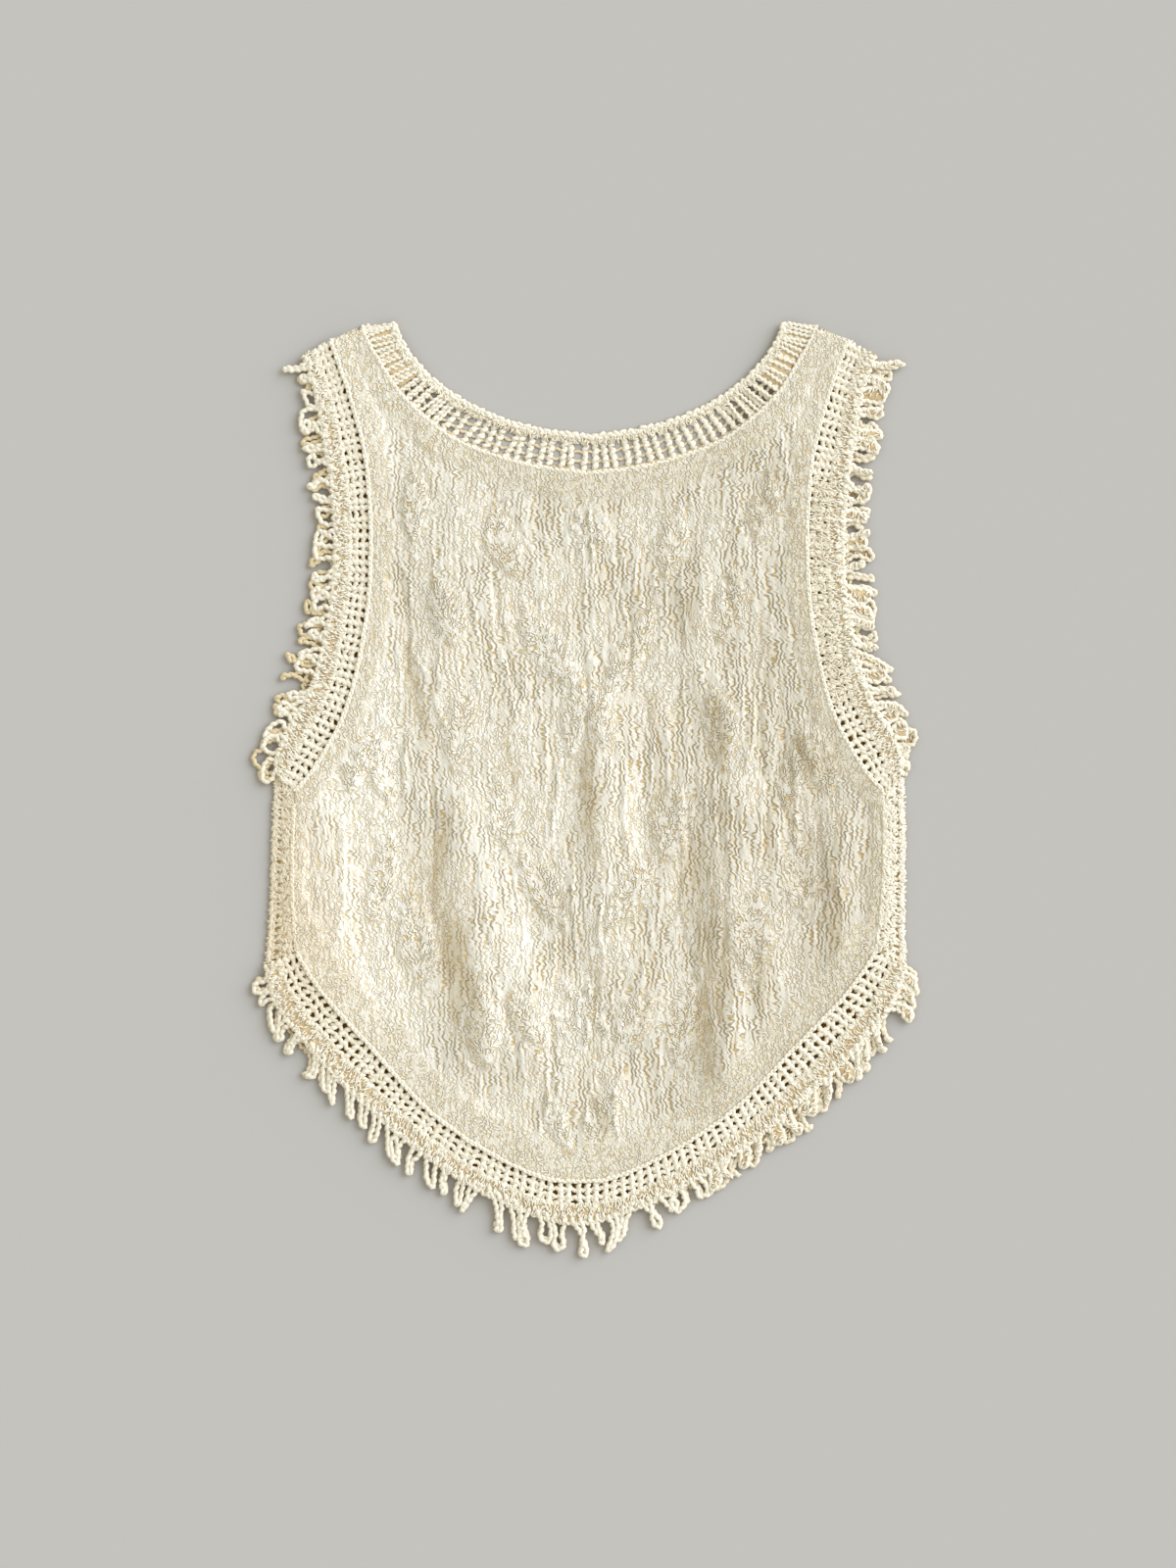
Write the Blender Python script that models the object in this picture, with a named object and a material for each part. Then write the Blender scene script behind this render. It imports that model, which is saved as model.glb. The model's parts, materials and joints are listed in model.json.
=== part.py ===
"""A sleeveless top of crinkled cloth, trimmed with crochet and laid flat on its front.

Metres, +Z up. The origin is on the surface that the top lies on, on its centre line, level with the
underarms. +Y points to the neck. The front panel lies face down and the back panel lies on it. Crocheted
strips join them down the sides, and crocheted bands finish the neck, the armholes and the hem. Looped
fringe hangs from the bands of the armholes and the hem.
"""

import math

import bmesh
import bpy
import numpy as np

# Walls and gaps
CLOTH_WALL = 0.0014        # crinkled cloth
FACING_WALL = 0.0022       # cloth turned in and doubled along its edges
FACING_WIDTH = 0.020
FACING_FULL = 0.5          # share of that width that has the whole doubled wall, before it thins
CROCHET_WALL = 0.0027
EDGE_CHAIN_WALL = 0.0035   # the thick chain that ends the neck band
GAP = 0.0006               # between joined pieces, which narrows to 0.0003 where a seam bends
LAYER = 0.0030             # height of the back layer's underside over the front layer
SIDE_ROUNDING = 0.3        # bevel of a side strip's folded edge, as a share of half its height

# Half outlines, right side, as (x, y). The left side mirrors them.
NECK_SEAM = [
    (0.0000, 0.2060), (0.0305, 0.2096), (0.0533, 0.2148), (0.0897, 0.2288),
    (0.1235, 0.2568), (0.1410, 0.2834), (0.1505, 0.3010),
]
NECK_EDGE = [
    (0.0000, 0.2320), (0.0340, 0.2365), (0.0555, 0.2423), (0.0848, 0.2560),
    (0.1087, 0.2743), (0.1218, 0.2903), (0.1285, 0.3060),
]
ARMHOLE_SEAM = [
    (0.1716, 0.2945), (0.1680, 0.2850), (0.1580, 0.2555), (0.1483, 0.2177), (0.1444, 0.1620),
    (0.1482, 0.1046), (0.1620, 0.0468), (0.1830, 0.0090), (0.1950, -0.0050),
]
ARMHOLE_EDGE = [
    (0.1900, 0.2830), (0.1827, 0.2640), (0.1745, 0.2180), (0.1706, 0.1900), (0.1695, 0.1400),
    (0.1780, 0.0858), (0.1880, 0.0560), (0.2000, 0.0360), (0.2070, 0.0190), (0.2080, 0.0060),
]
SIDE_SEAM = [(0.1950, -0.0050), (0.1960, -0.0400), (0.1950, -0.0800), (0.1920, -0.1110)]
SIDE_EDGE = [(0.2080, 0.0060), (0.2093, -0.0320), (0.2105, -0.0900), (0.2125, -0.1200)]
HEM_SEAM = [
    (0.0000, -0.2630), (0.0205, -0.2613), (0.0615, -0.2430), (0.1020, -0.2148),
    (0.1398, -0.1749), (0.1700, -0.1427), (0.1830, -0.1255), (0.1920, -0.1110),
]
HEM_EDGE = [
    (0.0000, -0.2925), (0.0210, -0.2885), (0.0615, -0.2720), (0.1046, -0.2447),
    (0.1340, -0.2210), (0.1640, -0.1940), (0.1960, -0.1586), (0.2070, -0.1410), (0.2125, -0.1200),
]

# The front neckline is a deeper curve, (x / half width)^power + (drop / depth)^power = 1.
NECK_TOP = 0.3040
NECK_POWER = 2.2
FRONT_NECK_EDGE = (0.1270, 0.1780)    # half width, depth
FRONT_NECK_SEAM = (0.1505, 0.2030)
NECK_DROP_FROM = 1.0                  # share of that curve where the back layer starts down to the surface
NECK_DROP_TO = 0.70

# Below the underarms the centre line drifts to the left as the hem lies.
DRIFT = 0.00715
DRIFT_LENGTH = 0.260

# Largest folds of the back panel: the crest's two ends, its height and how far it reaches each way.
# (top x, top y, bottom x, bottom y, height, half width)
FOLDS = [
    (-0.150, 0.071, -0.150, -0.115, 0.0045, 0.036),
    (-0.080, -0.020, -0.066, -0.170, 0.0046, 0.020),
    (-0.036, -0.128, -0.027, -0.184, 0.0022, 0.014),
    (-0.090, 0.125, -0.092, 0.052, 0.0022, 0.016),
    (0.007, 0.048, 0.011, -0.100, 0.0034, 0.014),
    (0.044, -0.050, 0.040, -0.160, 0.0030, 0.015),
    (0.076, 0.138, 0.075, 0.064, 0.0020, 0.013),
    (0.098, 0.046, 0.097, -0.008, 0.0024, 0.013),
    (0.094, -0.014, 0.096, -0.196, 0.0052, 0.019),
    (0.126, -0.022, 0.120, -0.130, 0.0024, 0.012),
    (0.168, -0.030, 0.166, -0.106, 0.0026, 0.012),
]
FOLD_END = 0.030           # length over which a fold dies out past its ends
SEAM_CALM = 0.09           # share of the panel next to its seams where the folds die out

# Grids of the panels and bands
PANEL_COLUMNS = 30
SIDE_ROWS = 5
ARMHOLE_ROWS = 15
CURVE_STEPS = 12
FRONT_NECK_STEPS = 18      # of each half of the front neckline
RIB_COLUMNS_UNDER = 4      # a ribbed band's underside has one column for this many on top

# Crocheted mesh
NECK_BARS = 44
NECK_BAR_SHARE = 0.48      # width of a bar as a share of its pitch
NECK_ROWS = [0.0022, 0.0044, 0.0016, 0.0044, 0.0016, 0.0044, 0.0069]   # from the seam: odd ones are gaps
HEM_BARS = 85
ARMHOLE_BARS = 53
RIB_DEPTH = 0.0011         # how far the wall sinks between two bars
MESH_SHARE = 0.56          # share of a ribbed band that is open mesh, the rest is close stitches

# Fringe
STRIP_WIDTH = 0.0020       # the narrow strip that the loops grow from
STRAND = 0.0016            # from the middle of a loop's strand to its top
STRAND_HALF_WIDTH = 0.0014
FLOOR_CLEARANCE = 0.0003   # of the lowest strands
TANGENT_SPAN = 0.2         # how far each way the edge's direction is read, as a share of a loop's pitch
LEG_SPREAD = 0.0028        # half distance between the legs of a loop, at their roots
KNEE = 0.72                # share of a loop's reach where the legs turn in to the tip
REACH_CHANGE = 0.14        # how much the loops differ in reach, as a share
LEAN = 0.0018              # how far their tips wander along the edge
# Which way the loops hang: (x, towards their side; y) and its share against the edge's own normal
HANG = {"hem": (0.0, -1.0, 0.80), "armhole": (1.0, -0.15, 0.60)}
HANG_EASE = 0.30           # how much less they hang that way where the edge itself runs along it

# How the front layer peeps out past the back layer: (edge, side, middle, half length, dx, dy),
# the middle and half length as shares of that edge from its top or its left end.
FRONT_PEEPS = [
    ("armhole", -1, 0.70, 0.30, -0.0070, 0.0000),
    ("armhole", 1, 0.62, 0.34, 0.0045, 0.0000),
    ("hem", 0, 0.76, 0.22, 0.0040, -0.0040),
    ("hem", 0, 0.10, 0.09, -0.0030, -0.0020),
]

# The rows of fringe: (edge, side, layer, loops, mean reach, whether the loops' legs have knees)
FRINGES = [
    ("hem", 0, "back", 47, 0.0190, True),
    ("hem", 0, "front", 24, 0.0185, False),
    ("armhole", -1, "back", 25, 0.0175, True),
    ("armhole", -1, "front", 13, 0.0180, False),
    ("armhole", 1, "back", 25, 0.0180, True),
    ("armhole", 1, "front", 13, 0.0180, False),
]
# Loops that stray from their row: (edge, side, layer, loop, reach, lean along the edge)
STRAYS = [
    ("armhole", -1, "back", 0, 0.0215, 0.0010),
    ("armhole", -1, "back", 23, 0.0190, 0.0010),
    ("armhole", -1, "back", 24, 0.0125, 0.0060),
    ("armhole", -1, "front", 12, 0.0150, 0.0030),
    ("armhole", 1, "back", 0, 0.0205, -0.0020),
    ("armhole", 1, "back", 21, 0.0150, 0.0000),
    ("armhole", 1, "back", 22, 0.0130, -0.0010),
    ("armhole", 1, "back", 23, 0.0120, 0.0000),
    ("armhole", 1, "back", 24, 0.0110, 0.0010),
    ("armhole", 1, "front", 11, 0.0130, 0.0010),
    ("armhole", 1, "front", 12, 0.0110, 0.0000),
    ("hem", 0, "back", 0, 0.0200, 0.0000),
    ("hem", 0, "back", 45, 0.0160, 0.0000),
    ("hem", 0, "back", 46, 0.0160, 0.0030),
]

# Colours, linear
CREAM = (0.80, 0.74, 0.60, 1.0)
YARN = (0.83, 0.76, 0.60, 1.0)
SHADED_YARN = (0.62, 0.52, 0.33, 1.0)
CLOTH_ROUGHNESS = 0.85


def clear_scene():
    for thing in list(bpy.data.objects):
        bpy.data.objects.remove(thing, do_unlink=True)


# Curves in the plane

def between(p, q, start, end, t):
    return ((end - t) * p + (t - start) * q) / (end - start)


def smooth_line(rows):
    """A smooth curve through the rows: a centripetal Catmull-Rom spline."""
    rows = np.array(rows, float)
    points = np.vstack([2 * rows[0] - rows[1], rows, 2 * rows[-1] - rows[-2]])
    steps = np.linalg.norm(np.diff(points, axis=0), axis=1) ** 0.5
    knots = np.concatenate([[0], np.cumsum(steps)])
    line = []
    for i in range(1, len(points) - 2):
        t = np.linspace(knots[i], knots[i + 1], CURVE_STEPS, endpoint=False)[:, None]
        a = [between(points[i + k - 1], points[i + k], knots[i + k - 1], knots[i + k], t) for k in range(3)]
        b = [between(a[k], a[k + 1], knots[i + k - 1], knots[i + k + 1], t) for k in range(2)]
        line.append(between(b[0], b[1], knots[i], knots[i + 1], t))
    return np.vstack(line + [rows[-1:]])


def both_sides(half):
    """The whole line, from the left end to the right end, of a half that starts on the centre line."""
    left = half[:0:-1] * (-1, 1)
    return np.vstack([left, half])


def along(line, shares):
    """Points at the given shares of a line's length."""
    length = np.concatenate([[0], np.cumsum(np.linalg.norm(np.diff(line, axis=0), axis=1))])
    at = np.array(shares) * length[-1]
    return np.column_stack([np.interp(at, length, line[:, k]) for k in range(2)])


def length_of(line):
    return float(np.linalg.norm(np.diff(line, axis=0), axis=1).sum())


def neck_curve(half_width, depth):
    """Half of the front neckline, from the centre to the shoulder."""
    turn = np.linspace(0, math.pi / 2, 3 * CURVE_STEPS)
    x = half_width * np.sin(turn) ** (2 / NECK_POWER)
    y = NECK_TOP - depth * np.cos(turn) ** (2 / NECK_POWER)
    return np.column_stack([x, y])


# How the cloth lies

def ease(value):
    value = np.clip(value, 0, 1)
    return value * value * (3 - 2 * value)


def back_height(x, y):
    """Height of the back layer's underside: on the front layer, and down on the surface inside the front
    neckline, where there is no front layer."""
    half_width, depth = FRONT_NECK_EDGE
    drop = np.clip(NECK_TOP - y, 0, None)
    share = ((np.abs(x) / half_width) ** NECK_POWER + (drop / depth) ** NECK_POWER) ** (1 / NECK_POWER)
    return LAYER * (1 - ease((NECK_DROP_FROM - share) / (NECK_DROP_FROM - NECK_DROP_TO)))


def fold_height(x, y):
    """Height that the largest folds add."""
    height = np.zeros_like(x)
    for top_x, top_y, bottom_x, bottom_y, crest, half_width in FOLDS:
        t = (top_y - y) / (top_y - bottom_y)
        from_crest = x - (top_x + (bottom_x - top_x) * np.clip(t, 0, 1))
        past = np.maximum(y - top_y, bottom_y - y)
        fading = 1 - ease(past / FOLD_END)
        height += crest * fading * np.exp(-(from_crest / half_width) ** 2)
    return height


def laid(points):
    """Moves points to where they lie, with the drift of the centre line."""
    points = np.array(points, float)
    below = np.clip(-points[..., 1], 0, None) / DRIFT_LENGTH
    points[..., 0] -= DRIFT * below ** 1.5
    return points


# Building solids

def make_material(name, colour):
    material = bpy.data.materials.new(name)
    material.use_nodes = True
    shader = material.node_tree.nodes["Principled BSDF"]
    shader.inputs["Base Color"].default_value = colour
    shader.inputs["Roughness"].default_value = CLOTH_ROUGHNESS
    shader.inputs["Metallic"].default_value = 0.0
    material.diffuse_color = colour
    return material


def add_object(name, shape, colour):
    """Makes an object of a closed bmesh, with its faces turned outwards."""
    shape.normal_update()
    bmesh.ops.triangulate(shape, faces=shape.faces)
    bmesh.ops.recalc_face_normals(shape, faces=shape.faces)
    if shape.calc_volume(signed=True) < 0:
        bmesh.ops.reverse_faces(shape, faces=shape.faces)
    mesh = bpy.data.meshes.new(name)
    shape.to_mesh(mesh)
    shape.free()
    mesh.materials.append(make_material(name, colour))
    thing = bpy.data.objects.new(name, mesh)
    bpy.context.scene.collection.objects.link(thing)
    return thing


def grid_points(shape, points):
    return [[shape.verts.new(p) for p in row] for row in laid(points)]


def add_wall(name, top, under, colour, is_open=None):
    """A closed wall between two grids of points of one size, [column][row]. is_open(column, row) tells
    which cells are cut through."""
    shape = bmesh.new()
    top = grid_points(shape, top)
    under = grid_points(shape, under)
    columns, rows = len(top) - 1, len(top[0]) - 1

    def solid(i, j):
        return 0 <= i < columns and 0 <= j < rows and not (is_open and is_open(i, j))

    for i in range(columns):
        for j in range(rows):
            if not solid(i, j):
                continue
            corners = [(i, j), (i + 1, j), (i + 1, j + 1), (i, j + 1)]
            beyond = [(i, j - 1), (i + 1, j), (i, j + 1), (i - 1, j)]
            shape.faces.new([top[a][b] for a, b in corners])
            shape.faces.new([under[a][b] for a, b in reversed(corners)])
            for k in range(4):
                if not solid(*beyond[k]):
                    (a, b), (c, d) = corners[k], corners[(k + 1) % 4]
                    shape.faces.new([under[a][b], under[c][d], top[c][d], top[a][b]])
    return add_object(name, shape, colour)


def add_ribbed_wall(name, top, under, colour):
    """A closed wall whose underside is plain: under has the points of the top's first and last row at
    every fourth column."""
    shape = bmesh.new()
    top = grid_points(shape, top)
    under = grid_points(shape, under)
    columns, rows = len(top) - 1, len(top[0]) - 1
    for i in range(columns):
        for j in range(rows):
            shape.faces.new([top[i][j], top[i + 1][j], top[i + 1][j + 1], top[i][j + 1]])
    for k in range(len(under) - 1):
        start = k * RIB_COLUMNS_UNDER
        middle = start + RIB_COLUMNS_UNDER // 2
        shape.faces.new([under[k][0], under[k][1], under[k + 1][1], under[k + 1][0]])
        for end, row in ((0, 0), (1, rows)):
            foot, next_foot = under[k][end], under[k + 1][end]
            shape.faces.new([foot, next_foot, top[middle][row]])
            for i in range(start, start + RIB_COLUMNS_UNDER):
                shape.faces.new([foot if i < middle else next_foot, top[i + 1][row], top[i][row]])
    for column, (near, far) in ((top[0], under[0]), (top[-1], under[-1])):
        shape.faces.new([far, near] + column)
    return add_object(name, shape, colour)


def raised(flat, height):
    """Points of the plane with a height each."""
    return np.concatenate([flat, np.broadcast_to(height, flat.shape[:-1])[..., None]], axis=-1)


# The panels and their seams

def side_line():
    """The right side of a panel, from the hem's corner up to the shoulder."""
    side = smooth_line(SIDE_SEAM)[::-1]
    armhole = smooth_line(ARMHOLE_SEAM)[::-1]
    side_y = np.linspace(side[0, 1], side[-1, 1], SIDE_ROWS + 1)
    armhole_y = np.linspace(armhole[0, 1], armhole[-1, 1], ARMHOLE_ROWS + 1)
    side_x = np.interp(side_y, side[:, 1], side[:, 0])
    armhole_x = np.interp(armhole_y, armhole[:, 1], armhole[:, 0])
    return np.column_stack([np.append(side_x, armhole_x[1:]), np.append(side_y, armhole_y[1:])])


def edge_at(line, xs):
    return np.column_stack([xs, np.interp(xs, line[:, 0], line[:, 1])])


def panel_grid(neck_half):
    """The panel's points, [column][row], as a Coons patch between the hem, the sides and the neck."""
    right = side_line()
    left = right * (-1, 1)
    hem = both_sides(smooth_line(HEM_SEAM))
    shoulder = right[-1]
    neck = np.vstack([both_sides(neck_half), [shoulder]])
    neck = np.vstack([[shoulder * (-1, 1)], neck])
    shares = np.linspace(0, 1, PANEL_COLUMNS + 1)
    bottom = edge_at(hem, (2 * shares - 1) * right[0, 0])
    top = edge_at(neck, (2 * shares - 1) * shoulder[0])
    up = ((right[:, 1] - right[0, 1]) / (right[-1, 1] - right[0, 1]))[None, :, None]
    over = shares[:, None, None]
    ends = (1 - up) * bottom[:, None] + up * top[:, None]
    sides = (1 - over) * left[None] + over * right[None]
    low = (1 - over) * left[0] + over * right[0]
    high = (1 - over) * left[-1] + over * right[-1]
    return ends + sides - (1 - up) * low - up * high, shares, up[0, :, 0]


def calm(shares, up):
    """1 inside the panel and 0 at its seams."""
    across = ease(shares / SEAM_CALM) * ease((1 - shares) / SEAM_CALM)
    lengthwise = ease(up / SEAM_CALM) * ease((1 - up) / SEAM_CALM)
    return across[:, None] * lengthwise[None]


def facing(grid):
    """1 where the edge of the panel is doubled, and 0 inside."""
    rim = np.concatenate([grid[0], grid[-1], grid[:, 0], grid[:, -1]])
    distance = np.linalg.norm(grid[:, :, None] - rim[None, None], axis=-1).min(axis=2)
    return 1 - ease(distance / FACING_WIDTH - FACING_FULL)


def add_back_panel():
    grid, shares, up = panel_grid(smooth_line(NECK_SEAM))
    x, y = grid[..., 0], grid[..., 1]
    under = back_height(x, y) + fold_height(x, y) * calm(shares, up)
    wall = CLOTH_WALL + (FACING_WALL - CLOTH_WALL) * facing(grid)
    add_wall("back_panel", raised(grid, under + wall), raised(grid, under), CREAM)


def front_neck_seam():
    return both_sides(along(neck_curve(*FRONT_NECK_SEAM), np.linspace(0, 1, FRONT_NECK_STEPS + 1)))


def add_front_panel():
    """The front panel is flat. Its neck is lower, so its outline is one face with the sides' points."""
    right = side_line()
    hem = both_sides(smooth_line(HEM_SEAM))
    hem = edge_at(hem, (2 * np.linspace(0, 1, PANEL_COLUMNS + 1) - 1) * right[0, 0])
    neck = front_neck_seam()
    outline = laid(np.vstack([hem[:-1], right, neck[::-1], (right * (-1, 1))[:0:-1]]))
    shape = bmesh.new()
    rings = [[shape.verts.new((x, y, z)) for x, y in outline] for z in (0.0, CLOTH_WALL)]
    shape.faces.new(rings[0][::-1])
    shape.faces.new(rings[1])
    for i in range(len(outline)):
        j = (i + 1) % len(outline)
        shape.faces.new([rings[0][i], rings[0][j], rings[1][j], rings[1][i]])
    add_object("front_panel", shape, CREAM)


# Where the bands run: seam line and outer edge, each from the same end

def peep(line, edge, side):
    """The front layer's edge, moved out where it shows past the back layer."""
    shares = np.linspace(0, 1, len(line))
    moved = line.copy()
    for peep_edge, peep_side, middle, half_length, dx, dy in FRONT_PEEPS:
        if (peep_edge, peep_side) == (edge, side):
            reach = np.clip(np.abs(shares - middle) / half_length, 0, 1)
            moved += np.cos(reach * math.pi / 2)[:, None] ** 2 * (dx, dy)
    return moved


def band_lines(edge, side, layer):
    """The seam and the outer edge of a band."""
    if edge == "hem":
        seam = both_sides(smooth_line(HEM_SEAM))
        seam = edge_at(seam, (2 * np.linspace(0, 1, PANEL_COLUMNS + 1) - 1) * SIDE_SEAM[-1][0])
        outer = both_sides(smooth_line(HEM_EDGE))
    else:
        seam = side_line()[:SIDE_ROWS - 1:-1] * (side, 1)
        outer = smooth_line(ARMHOLE_EDGE) * (side, 1)
    if layer == "front":
        outer = peep(along(outer, np.linspace(0, 1, len(outer))), edge, side)
    return seam, outer


def band_grid(seam, outer, columns, across):
    """Points between the seam and the outer edge, a gap away from the neighbours."""
    end = GAP / length_of(seam)
    shares = np.array(columns) * (1 - 2 * end) + end
    near = along(seam, shares)[:, None]
    far = along(outer, shares)[:, None]
    width = np.linalg.norm(far - near, axis=-1, keepdims=True)
    start = GAP / width
    t = np.array(across)[None, :, None] * (1 - start) + start
    return near + (far - near) * t


def corner_shares(seam, parts):
    """Shares of a seam's length at its corners, with each stretch between them in so many parts."""
    length = np.concatenate([[0], np.cumsum(np.linalg.norm(np.diff(seam, axis=0), axis=1))]) / length_of(seam)
    steps = np.arange(parts * (len(length) - 1) + 1) / parts
    return np.interp(steps, np.arange(len(length)), length)


def add_ribbed_band(name, edge, side, bars):
    """A back layer band: bars stand up in the open mesh, and the close stitches beyond it are level."""
    seam, outer = band_lines(edge, side, "back")
    count = 2 * bars + (-2 * bars) % RIB_COLUMNS_UNDER
    grid = band_grid(seam, outer, np.linspace(0, 1, count + 1), [0, MESH_SHARE, 1])
    height = back_height(grid[..., 0], grid[..., 1])
    sunk = np.zeros(grid.shape[:2])
    sunk[1::2, :2] = RIB_DEPTH
    top = raised(grid, height + CROCHET_WALL - sunk)
    under = raised(grid, height)[::RIB_COLUMNS_UNDER, ::2]
    add_ribbed_wall(name, top, under, YARN)


def add_plain_band(name, edge, side, parts):
    """A front layer band."""
    seam, outer = band_lines(edge, side, "front")
    grid = band_grid(seam, outer, corner_shares(seam, parts), [0, 1])
    add_wall(name, raised(grid, CROCHET_WALL), raised(grid, 0.0), SHADED_YARN)


def add_neck_back():
    """The back half of the neck band: three rows of gaps between bars, and a thick chain at the edge."""
    half = smooth_line(NECK_SEAM)
    top_x = NECK_SEAM[-1][0]
    panel_x = np.array([(2 * i / PANEL_COLUMNS - 1) * ARMHOLE_SEAM[0][0] for i in range(PANEL_COLUMNS + 1)])
    inside = panel_x[np.abs(panel_x) < top_x]
    seam = edge_at(both_sides(half), np.concatenate([[-top_x], inside, [top_x]]))
    outer = both_sides(smooth_line(NECK_EDGE))
    columns = []
    for bar in range(NECK_BARS):
        columns += [bar, bar + NECK_BAR_SHARE]
    columns = np.array(columns) / columns[-1]
    across = np.concatenate([[0], np.cumsum(NECK_ROWS)]) / sum(NECK_ROWS)
    grid = band_grid(seam, outer, columns, across)
    height = back_height(grid[..., 0], grid[..., 1])
    wall = np.full(len(across), CROCHET_WALL)
    wall[-1] = EDGE_CHAIN_WALL
    add_wall("neck_band_back", raised(grid, height + wall), raised(grid, height), YARN,
             is_open=lambda column, row: column % 2 == 1 and row % 2 == 1)


def add_neck_front():
    seam = front_neck_seam()
    outer = both_sides(neck_curve(*FRONT_NECK_EDGE))
    grid = band_grid(seam, outer, corner_shares(seam, 1), [0, 1])
    add_wall("neck_band_front", raised(grid, CROCHET_WALL), raised(grid, 0.0), SHADED_YARN)


def side_profile(width):
    """Section of a side strip as (out, up): it is folded over its outer edge, with a slit inside."""
    height = LAYER + CROCHET_WALL
    fold = height / 2
    bevel = SIDE_ROUNDING * fold
    slit_end = width - CROCHET_WALL
    return [
        (GAP, 0), (width - fold, 0), (width - bevel, bevel), (width, fold),
        (width - bevel, height - bevel), (width - fold, height), (GAP, height),
        (GAP, LAYER), (slit_end, LAYER), (slit_end, CROCHET_WALL), (GAP, CROCHET_WALL),
    ]


def add_side_strip(name, side):
    seam = side_line()[:SIDE_ROWS + 1][::-1]
    end = GAP / length_of(seam)
    shares = np.linspace(end, 1 - end, 2 * SIDE_ROWS + 1)
    near = along(seam, shares) * (side, 1)
    far = along(smooth_line(SIDE_EDGE), shares) * (side, 1)
    shape = bmesh.new()
    rings = []
    for inner, outer in zip(near, far):
        width = float(np.linalg.norm(outer - inner))
        out = (outer - inner) / width
        ring = [(*(inner + out * away), up) for away, up in side_profile(width)]
        rings.append([shape.verts.new(p) for p in laid(ring)])
    for ring, following in zip(rings, rings[1:]):
        for k in range(len(ring)):
            n = (k + 1) % len(ring)
            shape.faces.new([ring[k], ring[n], following[n], following[k]])
    shape.faces.new(rings[0][::-1])
    shape.faces.new(rings[-1])
    add_object(name, shape, YARN)


# Fringe

def vary(number, channel):
    """A repeatable value from -1 to 1 for each loop and purpose."""
    value = math.sin(12.9898 * (number + 1) + 78.233 * channel) * 43758.5453
    return 2 * (value - math.floor(value)) - 1


def loop_path(root, hang, sideways, reach, lean, has_knees):
    """The middle of a loop's strand in the plane, from one root to the other."""
    tip = root + hang * reach + sideways * lean
    lag = root + (tip - root) * KNEE
    half = sideways * LEG_SPREAD
    if has_knees:
        return [root - half, lag - half, tip, lag + half, root + half]
    return [root - half, tip - half, tip + half, root + half]


def strand_sections(path, out, level):
    """Three-sided sections along a strand, mitred at its turns: left, right and top points."""
    path = np.array(path)
    runs = np.diff(path, axis=0)
    runs /= np.linalg.norm(runs, axis=1, keepdims=True)
    way = np.vstack([[out], runs[:-1] + runs[1:], [-out]])
    way /= np.linalg.norm(way, axis=1, keepdims=True)
    mitre = np.ones(len(path))
    mitre[1:-1] = 1 / np.einsum("ij,ij->i", way[1:-1], runs[:-1])
    left = np.column_stack([-way[:, 1], way[:, 0]]) * (STRAND_HALF_WIDTH * mitre)[:, None]
    foot, crest = level - STRAND / 2, level + STRAND
    return [
        ((*(p + side), foot), (*(p - side), foot), (*p, crest))
        for p, side in zip(path, left)
    ]


def bulges(line, shares, outwards):
    """How far the edge bulges out past the straight stretches of a strip, at each of its points."""
    bulge = np.zeros(len(shares))
    for i in range(len(shares) - 1):
        points = along(line, np.linspace(shares[i], shares[i + 1], CURVE_STEPS))
        chord = np.linspace(points[0], points[-1], CURVE_STEPS)
        out = outwards[i] + outwards[i + 1]
        most = float(((points - chord) @ (out / np.linalg.norm(out))).max())
        bulge[i:i + 2] = np.maximum(bulge[i:i + 2], most)
    return bulge


def add_fringe(edge, side, layer, loops, mean_reach, has_knees):
    """A row of loops on a narrow strip beside the band's edge."""
    _, line = band_lines(edge, side, layer)
    outer_turn = -1 if edge == "hem" or side < 0 else 1
    strays = {row[3]: row[4:] for row in STRAYS if row[:3] == (edge, side, layer)}
    shares = (np.arange(loops) + 0.5) / loops
    here = along(line, shares)
    step = TANGENT_SPAN / loops
    ahead = along(line, shares + step) - along(line, shares - step)
    ahead /= np.linalg.norm(ahead, axis=1, keepdims=True)
    outwards = np.column_stack([-ahead[:, 1], ahead[:, 0]]) * outer_turn
    clearance = GAP + bulges(line, shares, outwards)
    hang_x, hang_y, hang_share = HANG[edge]
    pull = np.array([hang_x * side, hang_y])
    shape = bmesh.new()
    before = None
    for number in range(loops):
        sideways, out = ahead[number], outwards[number]
        reach = mean_reach * (1 + REACH_CHANGE * vary(number, 1))
        lean = LEAN * vary(number, 2)
        if number in strays:
            reach, lean = strays[number]
        level = STRAND / 2 + FLOOR_CLEARANCE
        if layer == "back":
            level += float(back_height(*here[number]))
        inner = here[number] + out * clearance[number]
        share = hang_share * (1 - HANG_EASE * abs(float(np.dot(pull, sideways))))
        hang = out * (1 - share) + pull * share
        hang /= np.linalg.norm(hang)
        path = loop_path(inner + out * STRIP_WIDTH, hang, sideways, reach - STRIP_WIDTH, lean, has_knees)
        before = add_loop(shape, before, inner, strand_sections(path, out, level), level, outer_turn)
    close_strip(shape, before)
    name = "fringe_" + {("hem", 0): "hem", ("armhole", -1): "left", ("armhole", 1): "right"}[edge, side]
    add_object(f"{name}_{layer}", shape, YARN if layer == "back" else SHADED_YARN)


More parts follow.
